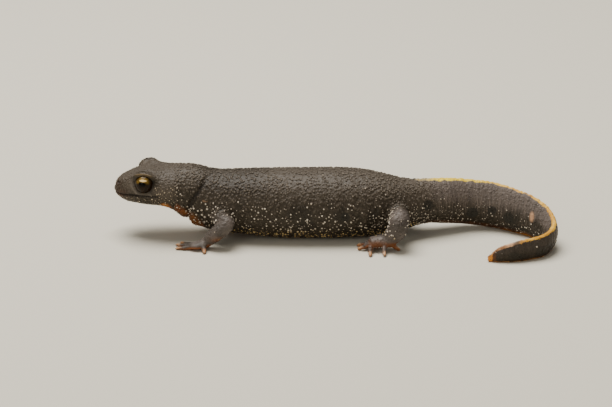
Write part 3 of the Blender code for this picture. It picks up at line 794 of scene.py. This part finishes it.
class Paint:
    """Shorthand for a material and its nodes: each call adds one node and links its inputs."""

    def __init__(self, name):
        self.material = bpy.data.materials.new(name)
        self.material.use_nodes = True
        self.tree = self.material.node_tree

    def add(self, kind, inputs=None, out=0, **settings):
        node = self.tree.nodes.new(kind)
        for name, value in settings.items():
            setattr(node, name, value)
        self.feed(node, inputs or {})
        return node.outputs[out]

    def feed(self, node, inputs):
        """Links or sets a node's inputs."""
        for name, value in inputs.items():
            socket = node.inputs[name]
            if isinstance(value, bpy.types.NodeSocket):
                self.tree.links.new(value, socket)
            elif isinstance(value, tuple) and len(value) == 3 and socket.type == "RGBA":
                socket.default_value = (*value, 1)
            else:
                socket.default_value = value

    def surface(self, inputs):
        """Links or sets the inputs of the material's own shader."""
        self.feed(self.tree.nodes["Principled BSDF"], inputs)

    def math(self, operation, first, second=0.0):
        return self.add("ShaderNodeMath", {0: first, 1: second}, operation=operation)

    def times(self, first, second):
        return self.math("MULTIPLY", first, second)

    def plus(self, first, second):
        return self.math("ADD", first, second)

    def minus(self, first, second):
        return self.math("SUBTRACT", first, second)

    def far_from(self, value, middle, reach):
        """The square of how far a value is from a middle, in lengths of the reach."""
        return self.math("POWER", self.math("DIVIDE", self.minus(value, middle), reach), 2.0)

    def ramp(self, value, low, high):
        """0 at the low value, 1 at the high one, and a smooth step between."""
        inputs = {"Value": value, "From Min": low, "From Max": high}
        return self.add("ShaderNodeMapRange", inputs, interpolation_type="SMOOTHSTEP")

    def mix(self, amount, first, second):
        return self.add("ShaderNodeMix", {0: amount, 6: first, 7: second}, out=2, data_type="RGBA")

    def over(self, under, mask, amount, tint):
        """A tint laid over the colour under it, by the mask times an amount."""
        return self.mix(self.times(mask, amount), under, tint)

    def attribute(self, name):
        return self.add("ShaderNodeAttribute", out=2, attribute_name=name)

    def noise(self, at, scale, detail, rough=0.5):
        inputs = {"Vector": at, "Scale": scale, "Detail": detail, "Roughness": rough}
        return self.add("ShaderNodeTexNoise", inputs)

    def bump(self, height, strength, distance):
        inputs = {"Height": height, "Strength": strength, "Distance": distance}
        return self.add("ShaderNodeBump", inputs)


# How many patches of each pattern there are in a metre.
MOTTLES, CLOUDS, SPECKS, PEBBLES, SPOTS = 320.0, 90.0, 2600.0, 2900.0, 250.0

paint = Paint("moist warty skin")
skin_material = paint.material
spot = paint.add("ShaderNodeTexCoord", out=3)
mottle = paint.noise(spot, MOTTLES, 4.0, 0.6)
cloud = paint.noise(spot, CLOUDS, 3.0, 0.55)
speck = paint.noise(spot, SPECKS, 3.0, 0.7)
pebble = paint.add("ShaderNodeTexVoronoi", {"Vector": spot, "Scale": PEBBLES})
height = paint.attribute("climb")
wart_shading = paint.attribute("wart")
on_tail = paint.attribute("tail")


def from_place(start, end):
    """0 before one place along the body, 1 past the other, and a smooth step between."""
    return paint.ramp(paint.attribute("place"), start, end)


def mottled(first, second, low=0.35, high=0.65):
    """Two colours in soft patches."""
    return paint.mix(paint.ramp(mottle, low, high), first, second)


def round_height(middle, out, inner):
    """1 at a height round the body, and 0 past a distance from it."""
    return paint.ramp(paint.math("ABSOLUTE", paint.plus(height, -middle)), out, inner)


# Dark brown low down and slate above, partly the skin's own colour and partly painted shade on
# the lower flanks. The tips of the warts are paler with painted highlight, and the skin between
# them is darker with painted shade. The pebbled skin is paler too.
DARK, SLATE, WART_TIP_HIGHLIGHT = (0.0165, 0.0102, 0.0026), (0.067, 0.052, 0.036), (0.135, 0.108, 0.078)
PEBBLE, SPECK = (0.15, 0.12, 0.09), (0.15, 0.12, 0.095)
tone = paint.plus(paint.times(paint.ramp(height, -0.5, 0.95), 0.5), paint.times(mottle, 0.35))
tone = paint.plus(tone, paint.times(wart_shading, 0.6))
tone = paint.plus(tone, paint.times(paint.attribute("shade"), 0.4))
colour = paint.mix(paint.ramp(tone, 0.15, 1.3), DARK, SLATE)
tip_highlight = paint.times(paint.ramp(wart_shading, 0.5, 1.0), paint.ramp(cloud, 0.35, 0.65))
paler = paint.plus(paint.times(paint.ramp(paint.attribute("shade"), 0.1, 0.9), 0.45), 0.45)
colour = paint.mix(paint.times(tip_highlight, paler), colour, WART_TIP_HIGHLIGHT)
colour = paint.over(colour, paint.ramp(pebble, 0.45, 0.15), 0.22, PEBBLE)
colour = paint.over(colour, paint.ramp(speck, 0.52, 0.72), 0.3, SPECK)

# The upper half of the tail is paler, partly its own colour and partly painted light from above,
# with pale upright streaks that are partly painted highlight on the pleats and dark grooves of
# painted shade, about three to the millimetre. Its end is darker with painted shade, where it
# turns away from the light.
UPPER_TAIL_LIT, TAIL_STREAK_SHEEN = (0.150, 0.122, 0.106), (0.20, 0.158, 0.130)
TAIL_GROOVE_SHADE, TAIL_END_SHADE = (0.012, 0.008, 0.006), (0.019, 0.011, 0.0035)
STREAKS = 3.2
streaked = paint.times(paint.attribute("place"), STREAKS)
streak_at = paint.add("ShaderNodeCombineXYZ", {0: streaked, 1: height})
streak = paint.noise(streak_at, 1.0, 2.0)
lit_upper_tail = paint.times(on_tail, paint.ramp(height, -0.1, 0.5))
streak_sheen = paint.times(paint.times(on_tail, round_height(0.1, 0.55, 0.1)), paint.ramp(streak, 0.45, 0.7))
groove_shade = paint.times(paint.times(on_tail, paint.ramp(streak, 0.5, 0.3)), paint.ramp(height, -0.4, 0.1))
shaded_tail_end = paint.times(on_tail, from_place(84.0, 92.0))
colour = paint.over(colour, lit_upper_tail, 0.75, UPPER_TAIL_LIT)
colour = paint.over(colour, streak_sheen, 0.6, TAIL_STREAK_SHEEN)
colour = paint.over(colour, groove_shade, 0.4, TAIL_GROOVE_SHADE)
colour = paint.over(colour, shaded_tail_end, 0.75, TAIL_END_SHADE)

# Black spots: small ones by chance along the flank, and the round ones with torn edges.
SPOT_BLACK, BLOT_BLACK = (0.011, 0.008, 0.003), (0.009, 0.008, 0.004)
spots = paint.ramp(paint.noise(spot, SPOTS, 1.0), 0.56, 0.62)
spots = paint.times(paint.times(spots, round_height(-0.25, 0.75, 0.35)), from_place(20.0, 26.0))
colour = paint.over(colour, spots, 0.55, SPOT_BLACK)
blot = paint.plus(paint.attribute("dark_spot"), paint.times(paint.minus(mottle, 0.5), 1.4))
blot = paint.times(paint.ramp(blot, 0.15, 0.75), paint.ramp(paint.attribute("dark_spot"), 0.0, 0.2))
colour = paint.over(colour, blot, 0.8, BLOT_BLACK)

# Grey legs, an orange belly with black blotches, a rusty lower edge to the tail, an orange
# throat and rusty lips.
LEG_DARK, LEG_GREY, LEG_SPECK = (0.045, 0.036, 0.029), (0.108, 0.088, 0.076), (0.20, 0.17, 0.145)
BELLY_RUST, BELLY_ORANGE, BLOTCH = (0.20, 0.055, 0.007), (0.46, 0.17, 0.018), (0.014, 0.010, 0.007)
EDGE_BROWN, EDGE_RUST = (0.05, 0.016, 0.005), (0.15, 0.050, 0.010)
FLAME, PALE_FLAME, TIP_FLAME = (0.46, 0.19, 0.028), (0.70, 0.38, 0.10), (0.60, 0.22, 0.022)
THROAT_BLOTCH, THROAT_BROWN, LIP = (0.05, 0.022, 0.008), (0.10, 0.035, 0.010), (0.085, 0.038, 0.020)
limb_colour = mottled(LEG_DARK, LEG_GREY)
limb_colour = paint.over(limb_colour, paint.ramp(speck, 0.55, 0.7), 0.35, LEG_SPECK)
colour = paint.mix(paint.attribute("limb"), colour, limb_colour)
orange = mottled(BELLY_RUST, BELLY_ORANGE, 0.4, 0.65)
belly_colour = paint.mix(paint.ramp(cloud, 0.50, 0.56), orange, BLOTCH)
colour = paint.mix(paint.attribute("belly"), colour, belly_colour)
under = paint.attribute("under_edge")
rust = mottled(EDGE_BROWN, EDGE_RUST)
colour = paint.over(colour, paint.ramp(under, 0.1, 0.7), 0.8, rust)
flame = paint.ramp(paint.plus(under, paint.times(mottle, 0.4)), 0.95, 1.15)
flame_colour = paint.mix(from_place(90.0, 95.0), FLAME, PALE_FLAME)
flame_colour = paint.mix(from_place(99.5, 101.5), flame_colour, TIP_FLAME)
colour = paint.mix(paint.times(flame, from_place(68.0, 80.0)), colour, flame_colour)
throat_colour = paint.mix(paint.ramp(cloud, 0.6, 0.68), orange, THROAT_BLOTCH)
throat_colour = paint.over(throat_colour, from_place(13.4, 14.4), 0.75, THROAT_BROWN)
colour = paint.mix(paint.attribute("throat"), colour, throat_colour)
rusty_lip = paint.times(paint.attribute("lip_rust"), paint.ramp(mottle, 0.4, 0.6))
colour = paint.mix(rusty_lip, colour, LIP)

# The tail's upper edge goes from cream to gold, amber and a pinkish tip, and is torn further
# back, with a dark gap before the tip.
EDGE_CREAM = (0.40, 0.31, 0.15)
GOLD, PALE_GOLD = (0.70, 0.47, 0.016), (0.86, 0.64, 0.040)
AMBER, PALE_AMBER = (0.54, 0.25, 0.015), (0.78, 0.46, 0.045)
PINKISH, PALE_PINKISH = (0.24, 0.10, 0.035), (0.56, 0.32, 0.17)
gold = mottled(GOLD, PALE_GOLD)
amber = mottled(AMBER, PALE_AMBER)
pinkish = mottled(PINKISH, PALE_PINKISH, 0.40, 0.60)
band = paint.mix(from_place(57.0, 61.0), EDGE_CREAM, gold)
band = paint.mix(from_place(66.0, 76.0), band, amber)
band = paint.mix(from_place(95.5, 98.5), band, pinkish)
tear = paint.plus(paint.times(from_place(84.0, 90.0), 0.6), 0.8)
torn = paint.plus(paint.attribute("yellow_edge"), paint.times(paint.minus(mottle, 0.5), tear))
gap = paint.ramp(paint.math("ABSOLUTE", paint.minus(paint.attribute("place"), 98.0)), 0.3, 0.9)
gap = paint.plus(paint.times(gap, 0.75), 0.25)
colour = paint.mix(paint.times(paint.ramp(torn, 0.38, 0.62), gap), colour, band)

# Orange toes and soles, then the lids, painted shade in the mouth, nostrils, throat fold and eye
# openings, and the pale marks.
TOE_ORANGE, PALE_TOE = (0.38, 0.17, 0.07), (0.62, 0.36, 0.18)
SOLE_BROWN, SOLE_ORANGE = (0.060, 0.024, 0.012), (0.24, 0.070, 0.008)
LOWER_LID, UPPER_LID = (0.15, 0.125, 0.10), (0.20, 0.13, 0.045)
CREASE_SHADE, PALE_MARK = (0.006, 0.004, 0.003), (0.53, 0.30, 0.17)
toe_colour = mottled(TOE_ORANGE, PALE_TOE)
sole_colour = paint.mix(paint.ramp(cloud, 0.40, 0.60), SOLE_BROWN, SOLE_ORANGE)
for mark, amount, tint in (
    ("toe", 0.9, toe_colour),
    ("sole", 0.9, sole_colour),
    ("lid", 0.8, LOWER_LID),
    ("lid_top", 0.7, UPPER_LID),
    ("crease_shade", 0.85, CREASE_SHADE),
):
    colour = paint.over(colour, paint.attribute(mark), amount, tint)
colour = paint.mix(paint.attribute("pale_mark"), colour, PALE_MARK)
fine_relief = paint.plus(paint.times(pebble, -0.7), paint.times(speck, 0.5))
paint.surface({
    "Base Color": colour,
    "Roughness": paint.plus(paint.times(speck, 0.3), 0.38),
    "Specular IOR Level": 0.28,
    "Coat Weight": 0.06,
    "Coat Roughness": 0.3,
    "Normal": paint.bump(fine_relief, 0.8, 0.00015),
})
skin_mesh.materials.append(skin_material)

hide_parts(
    "head", "neck", "trunk",
    "tail_root", "tail_middle", "tail_bend", "tail_return", "tail_tip",
    "foreleg_left_upper", "foreleg_left_lower", "forefoot_left",
    "foreleg_right_upper", "foreleg_right_lower", "forefoot_right",
    "hindleg_left_upper", "hindleg_left_lower", "hindfoot_left",
    "hindleg_right_upper", "hindleg_right_lower", "hindfoot_right",
)
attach(skin, "root")

# The warts.
# Each wart of the skin is a low dome, sunk in the skin round it and coloured as the skin is
# there, with a painted highlight on its crown. They are largest on the back and flanks, and small
# on the head, legs and tail.

DOME_SIDES = 8
# How wide one dome's patch of the unwrap is.
PATCH = 0.0015
# Radius and height of a wart's rings, in lengths of its own radius.
WART_PROFILE = ((1.0, -0.35), (0.82, 0.32), (0.45, 0.66), (0, 0.78))

# Seven lots for each wart: its size, its two stretches, whether it is capped, the cap's size,
# and the cap's two stretches.
LOTS, LOT_SEED = 7, 4

is_site = (bumps > highest) & (bumps > 0.1) & (size > 0.12) & (pale_mark < 0.3)
sites = np.flatnonzero(is_site)
lot = np.random.default_rng(LOT_SEED).random((LOTS, len(sites)))
site_place, site_climb = place[sites], climb[sites]


def domes_on(feet, up, radii, tall, lots, profile):
    """Low domes on the skin: a profile of (radius, height) rows turned round the normal.

    Each is stretched along the skin by its own lots, and its foot lies under the skin.
    """
    first_axis = np.cross(up, (0.1, 0.3, 1.0))
    first_axis /= np.linalg.norm(first_axis, axis=1, keepdims=True)
    second_axis = np.cross(up, first_axis)
    turn = round_angles(DOME_SIDES)
    rings = [
        np.column_stack([np.cos(turn) * out, np.sin(turn) * out, 0 * turn + rise])
        for out, rise in profile[:-1]
    ]
    shape = np.concatenate([*rings, [[0, 0, profile[-1][1]]]])
    wide, deep = radii * (0.88 + 0.24 * lots[0]), radii * (0.88 + 0.24 * lots[1])
    points = feet[:, None, :] + shape[None, :, 0, None] * (first_axis * wide[:, None])[:, None, :]
    points = points + shape[None, :, 1, None] * (second_axis * deep[:, None])[:, None, :]
    points = points + shape[None, :, 2, None] * (up * (radii * tall)[:, None])[:, None, :]
    points[..., 2] = np.maximum(points[..., 2], 0)
    return points, shape


def turned_outwards(mesh):
    """Turns a closed mesh's faces outwards and smooths them."""
    work = bmesh.new()
    work.from_mesh(mesh)
    bmesh.ops.recalc_face_normals(work, faces=work.faces)
    work.to_mesh(mesh)
    work.free()
    mesh.shade_smooth()


def dome_mesh(name, sites, lift, radii, tall, lots, profile):
    """The mesh of all domes, with how high each vertex is, and the vertices in each dome.

    The lift raises their feet along the normal. The unwrap lays the place along the spine on
    u and the turn round the section on v, with the legs in a strip of their own.
    """
    feet = at[sites] + normal[sites] * lift
    points, shape = domes_on(feet, normal[sites], radii, tall, lots, profile)
    count, each = len(sites), len(shape)
    here = np.arange(DOME_SIDES)
    there = (here + 1) % DOME_SIDES
    last = DOME_SIDES * (len(profile) - 2)
    band = np.stack([here, there, there + DOME_SIDES, here + DOME_SIDES], -1)
    bands = np.concatenate([band + below for below in range(0, last, DOME_SIDES)])
    crown = np.stack([here + last, there + last, 0 * here + each - 1], -1)
    offset = (np.arange(count) * each)[:, None, None]
    mesh = bpy.data.meshes.new(name)
    mesh.from_pydata(
        ((points.reshape(-1, 3) + SNOUT_AT) * MM).tolist(),
        [],
        (bands[None] + offset).reshape(-1, 4).tolist()
        + (crown[None] + offset).reshape(-1, 3).tolist()
        + (here[::-1][None] + offset[:, 0]).tolist(),
    )
    turned_outwards(mesh)
    corner = np.empty(len(mesh.loops), np.int32)
    mesh.loops.foreach_get("vertex_index", corner)
    turn_at = np.arctan2(climb[sites], across[sites] / half[sites]) / (2 * np.pi) + 0.5
    along_u = 0.01 + 0.98 * place[sites] / TAIL_TIP
    round_v = np.where(limb[sites] > 0.5, 0.76 + 0.22 * turn_at, 0.01 + 0.73 * turn_at)
    patch = np.stack([along_u, round_v], -1)[:, None] + PATCH * shape[None, :, :2]
    unwrap = mesh.uv_layers.new(name="OFBake")
    unwrap.uv.foreach_set("vector", patch.reshape(-1, 2)[corner].astype(np.float32).ravel())
    raised = np.tile(np.clip(shape[:, 2] / shape[-1, 2], 0, 1), count)
    return mesh, raised, each


wart_size = (0.18 + 0.1 * lot[0]) * (1 - 0.25 * limb[sites]) * (1 - 0.2 * tail[sites])
wart_size = wart_size * (1 - 0.42 * on_head[sites])
wart_tall = 0.55 * (1 - 0.55 * tail[sites] * stepped(-0.3, 0.3, site_climb))
wart_tall = wart_tall * (1 - 0.3 * on_head[sites]) * (1 - 0.5 * np.maximum(brow, chin)[sites])
for name, start, end in (("warts_head", -2, 13), ("warts_front", 13, 38), ("warts_back", 38, 90)):
    some = (at[sites, 0] >= start) & (at[sites, 0] < end)
    here = sites[some]
    wart_mesh, raised, each = dome_mesh(
        name, here, 0.0, wart_size[some], wart_tall[some], lot[1:3, some], WART_PROFILE
    )
    # The bump mark rises from foot to crown, for a painted highlight on top and painted shade at the foot.
    for mark, values in marks.items():
        values = 0.35 + 0.65 * raised if mark == "wart" else np.repeat(values[here], each)
        keep_mark(wart_mesh, mark, values)
    wart_mesh.materials.append(skin_material)
    warts = shown(name, wart_mesh)
    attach(warts, "root")

# The cream granules.
# Many warts of the flanks, cheeks and sides of the tail carry a small raised cream cap. They
# are closest low down and round the shoulder, and turn yellow along the edge of the belly.

GRANULE_PROFILE = ((1.0, -0.4), (0.93, 0.25), (0.55, 0.62), (0, 0.75))

# The chance of a cap at each wart: by the height and place, in clumps further back.
site_height, site_limb = at[sites, 2], limb[sites]
flank = stepped(0.5, -0.2, site_climb) * stepped(-0.96, -0.74, site_climb)
density = 0.9 * flank * stepped(8.5, 13, site_place) * stepped(92, 80, site_place)
clump = 0.5 * np.sin(site_place * 1.9 + 2 * np.sin(site_climb * 4))
clump = 0.5 + clump * np.cos(site_climb * 5 + site_place * 0.7)
density = density * (1 - 0.75 * stepped(60, 66, site_place) * (1 - clump))
sparse = 0.24 * stepped(19, 23, site_place) * stepped(56, 52, site_place)
density = density * (1 - sparse * stepped(-0.8, -0.6, site_climb))
density = density * (1 - 0.15 * stepped(56, 60, site_place)) * (1 - 0.8 * dark_spot[sites])
bare_neck = stepped(7.6, 8.8, site_height) * stepped(12.6, 13.6, site_place) * stepped(22, 19, site_place)
density = density * (1 - 0.75 * bare_neck)
shoulder = np.exp(-(((site_place - 16.8) / 2.0) ** 2 + ((site_height - 6.0) / 1.5) ** 2))
cheek = stepped(6, 8.5, site_place) * stepped(13.5, 12, site_place) * stepped(0.6, 0.25, site_climb)
cheek = 0.75 * cheek * stepped(-0.95, -0.8, site_climb)
lip_row = bell(site_height - mouth_level[sites] + 0.6, 0.25) * stepped(0.8, 1.8, site_place)
lip_row = 0.7 * lip_row * stepped(9.5, 8.5, site_place) * (site_climb < 0)
jaw = 0.15 * stepped(1.5, 4, site_place) * stepped(11, 9, site_place) * stepped(0.1, -0.3, site_climb)
density = np.max([density, shoulder, cheek, lip_row, jaw], axis=0)
density = (density + 0.03 * stepped(18, 22, site_place)) * (1 - 0.92 * site_limb)
for cover in (lid_open, belly, yellow_edge):
    density = density * (1 - cover[sites])
thigh = site_limb * stepped(2.6, 3.4, site_height) * (site_place > 45)
thigh_front = thigh * stepped(52.6, 51.4, at[sites, 0])
density = np.max([density, 0.8 * thigh_front, 0.22 * thigh], axis=0)
density = density * (1 - 0.8 * throat[sites] * stepped(15.6, 14.6, site_place))

# Three bright ones stand where they do in the photo. Of two that crowd, the larger stays.
for middle in ((4.8, -3.3, 7.89), (7.4, -4.3, 8.5), (77.67, -13.96, 3.02)):
    nearest = away_from(at[sites], middle).argmin()
    density[nearest], lot[2, nearest], lot[4, nearest] = 2.0, 1.0, 1.2
capped = np.flatnonzero(lot[3] < density)
apart = np.linalg.norm(at[sites[capped]][:, None] - at[sites[capped]][None], axis=2)
too_near = apart < 0.32 + 0.2 * shoulder[capped, None]
crowded = too_near & (lot[4, capped][None] > lot[4, capped][:, None])
capped = capped[~crowded.any(1)]
cap_sites, lots, near_shoulder = sites[capped], lot[:, capped], shoulder[capped]
cap_place, cap_climb = site_place[capped], site_climb[capped]
cap_size = (0.085 + 0.1 * lots[4] ** 2 + 0.06 * near_shoulder) * (1 - 0.2 * tail[cap_sites])
cap_size = cap_size * (1 - 0.35 * on_head[cap_sites])
lift = 0.7 * WART_PROFILE[-1][1] * (wart_tall * wart_size)[capped]
cap_mesh, _, each = dome_mesh(
    "cream_granules", cap_sites, lift[:, None], cap_size, 1.0, lots[5:7], GRANULE_PROFILE
)
pale = (0.25 + 0.4 * lots[2] + 0.35 * lots[4]) * (0.5 + 0.5 * stepped(0.5, -0.1, cap_climb))
pale = np.maximum(pale, near_shoulder * (0.5 + 0.5 * lots[1])) * (1 - 0.35 * on_head[cap_sites])
yellowish = stepped(-0.42, -0.66, cap_climb) * (cap_place < 56) * stepped(17, 20, cap_place)
yellowish = np.maximum(yellowish, 0.25 * on_head[cap_sites])
keep_mark(cap_mesh, "pale", np.repeat(pale, each))
keep_mark(cap_mesh, "yellowish", np.repeat(yellowish, each))
granules = shown("cream_granules", cap_mesh)

DULL_CAP, CREAM_CAP = (0.20, 0.15, 0.115), (0.80, 0.72, 0.60)
YELLOW_CAP, CAP_GRAIN, GRAINS = (0.68, 0.47, 0.15), (0.22, 0.16, 0.11), 3000.0
paint = Paint("cream granules")
grainy = paint.noise(paint.add("ShaderNodeTexCoord", out=3), GRAINS, 2.0)
cream = paint.mix(paint.attribute("pale"), DULL_CAP, CREAM_CAP)
cream = paint.over(cream, paint.attribute("yellowish"), 0.85, YELLOW_CAP)
cream = paint.over(cream, grainy, 0.35, CAP_GRAIN)
paint.surface({"Base Color": cream, "Roughness": 0.45, "Normal": paint.bump(grainy, 0.3, 0.00004)})
cap_mesh.materials.append(paint.material)
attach(granules, "root")

# The eyes.
# Each is a wet globe with a slightly bulging cornea, set in the skin behind its lids. A gold
# iris is brightest above a dark pupil that is wider than it is high. The gold is partly the
# iris's own colour and partly painted light from above, and its palest spot is partly a painted
# highlight.

CORNEA = 0.05
GLOBE_ROWS, GLOBE_COLUMNS = 60, 72
PUPIL_WIDE, PUPIL_TALL, PUPIL_DOWN = 0.36, 0.22, 0.02
PUPIL_BLACK, IRIS_BROWN, IRIS_BLACK = (0.002, 0.0015, 0.001), (0.020, 0.009, 0.003), (0.005, 0.003, 0.001)
IRIS_GOLD, IRIS_BRONZE, IRIS_HIGHLIGHT = (0.22, 0.135, 0.024), (0.055, 0.030, 0.005), (0.78, 0.57, 0.26)
IRIS_FLECKS = 2400.0


def round_look(look):
    """Two directions square to the way an eye looks: level, and upwards."""
    side = np.cross(look, (0.0, 0.0, 1.0))
    side /= np.linalg.norm(side)
    return side, np.cross(side, look)


def eye_globe(centre, look, radius):
    """Grid points of a globe: the radius swells by a bell of the angle from the way it looks."""
    side, top = round_look(look)
    angle = np.radians(np.linspace(1.2, 178.8, GLOBE_ROWS))[:, None]
    turn = round_angles(GLOBE_COLUMNS)[None, :]
    far = radius * (1 + CORNEA * bell(angle, 0.5) - CORNEA * 0.4)
    ring = np.sin(angle)[..., None] * (np.cos(turn)[..., None] * side + np.sin(turn)[..., None] * top)
    return centre + far[..., None] * (np.cos(angle)[..., None] * look + ring)


for hand, name in ((-1, "left"), (1, "right")):
    centre, look = eye_at(hand)
    points, squares, fans = closed_tube(eye_globe(centre, look, EYE_RADIUS), 0)
    mesh = bpy.data.meshes.new(f"eye_globe_{name}")
    mesh.from_pydata(((points + SNOUT_AT) * MM).tolist(), [], squares.tolist() + fans.tolist())
    turned_outwards(mesh)
    globe = shown(f"eye_globe_{name}", mesh)

    paint = Paint(f"wet eye {name}")
    spot = paint.add("ShaderNodeTexCoord", out=3)
    middle = tuple(((centre + SNOUT_AT) * MM).tolist())
    ray = paint.add("ShaderNodeVectorMath", {0: spot, 1: middle}, operation="SUBTRACT")
    ray = paint.add("ShaderNodeVectorMath", {0: ray}, operation="NORMALIZE")
    right, above = (
        paint.add("ShaderNodeVectorMath", {0: ray, 1: tuple(axis.tolist())}, out=1, operation="DOT_PRODUCT")
        for axis in round_look(look)
    )
    pupil = paint.plus(
        paint.far_from(right, 0.0, PUPIL_WIDE), paint.far_from(above, -PUPIL_DOWN, PUPIL_TALL)
    )
    far = paint.math("SQRT", paint.plus(paint.far_from(right, 0.0, 1.0), paint.far_from(above, 0.0, 1.0)))
    # Painted light: the upper iris is gold where light falls from above, with a painted highlight in it.
    lit = paint.times(paint.ramp(above, -0.08, 0.26), paint.ramp(far, 0.84, 0.60))
    highlight_core = paint.plus(paint.far_from(right, 0.06 * hand, 0.36), paint.far_from(above, 0.35, 0.115))
    fleck = paint.noise(spot, IRIS_FLECKS, 5.0, 0.7)
    iris = paint.mix(paint.ramp(fleck, 0.35, 0.65), IRIS_BROWN, IRIS_BLACK)
    gold = paint.mix(paint.ramp(fleck, 0.3, 0.62), IRIS_GOLD, IRIS_BRONZE)
    iris = paint.mix(lit, iris, gold)
    iris = paint.mix(paint.ramp(highlight_core, 1.6, 0.2), iris, IRIS_HIGHLIGHT)
    paint.surface({
        "Base Color": paint.mix(paint.ramp(pupil, 1.15, 0.85), iris, PUPIL_BLACK),
        "Roughness": 0.18,
        "Specular IOR Level": 0.08,
        "Coat Weight": 0.10,
        "Coat Roughness": 0.02,
        "Coat IOR": 1.36,
    })
    mesh.materials.append(paint.material)
    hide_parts(f"eye_{name}")
    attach(globe, "root")

# The floor, lights and camera.
# A pale plain floor under soft studio light, seen from 20 degrees above the newt's left side.

FLOOR_DOWN, FLOOR_SIDE, FLOOR_BACK, FLOOR_COLOUR = 0.00002, 3, 6, (0.62, 0.59, 0.50)
STUDIO_COLOUR, STUDIO_STRENGTH = (1.0, 0.96, 0.89, 1), 0.32
floor_mesh = bpy.data.meshes.new("floor")
corners = ((-1, -FLOOR_SIDE), (1, -FLOOR_SIDE), (1, FLOOR_BACK), (-1, FLOOR_BACK))
floor_mesh.from_pydata([(x * FLOOR_SIDE, y, -FLOOR_DOWN) for x, y in corners], [], [(0, 1, 2, 3)])
floor = shown("floor", floor_mesh)
paint = Paint("pale floor")
paint.surface({"Base Color": FLOOR_COLOUR, "Roughness": 0.9})
floor_mesh.materials.append(paint.material)

world = bpy.data.worlds.new("studio")
world.use_nodes = True
background = world.node_tree.nodes["Background"]
background.inputs["Color"].default_value = STUDIO_COLOUR
background.inputs["Strength"].default_value = STUDIO_STRENGTH
bpy.context.scene.world = world


def soft_light(name, place, size, power, colour):
    """A square area light of a size in metres that faces the newt."""
    light = bpy.data.lights.new(name, "AREA")
    light.size, light.energy, light.color = size, power, colour
    lamp = shown(name, light)
    lamp.location = place
    lamp.rotation_euler = (Vector((0, 0, 0.006)) - Vector(place)).to_track_quat("-Z", "Y").to_euler()


soft_light("overhead", (-0.10, 0.10, 0.52), 0.36, 5.6, (1.0, 0.96, 0.90))
soft_light("front", (-0.35, -0.55, 0.35), 0.35, 0.9, (1.0, 0.95, 0.88))

# The photo's long lens: its focal length and width in pixels, and the sensor's width in mm.
LENS_PIXELS, PHOTO_WIDE, SENSOR_WIDE = 2674, 612, 36
CAMERA_AWAY, CAMERA_ABOVE = 0.5, np.radians(20)
CAMERA_AIM = np.array([35.7, 0.0, 6.0])
target = Vector(((CAMERA_AIM + SNOUT_AT) * MM).tolist())
lens = bpy.data.cameras.new("photo")
lens.sensor_width = SENSOR_WIDE
lens.lens = LENS_PIXELS / PHOTO_WIDE * SENSOR_WIDE
lens.clip_start = 0.01
camera = shown("photo", lens)
camera.location = target + CAMERA_AWAY * Vector((0, -np.cos(CAMERA_ABOVE), np.sin(CAMERA_ABOVE)))
camera.rotation_euler = (np.pi / 2 - CAMERA_ABOVE, 0, 0)
bpy.context.scene.camera = camera
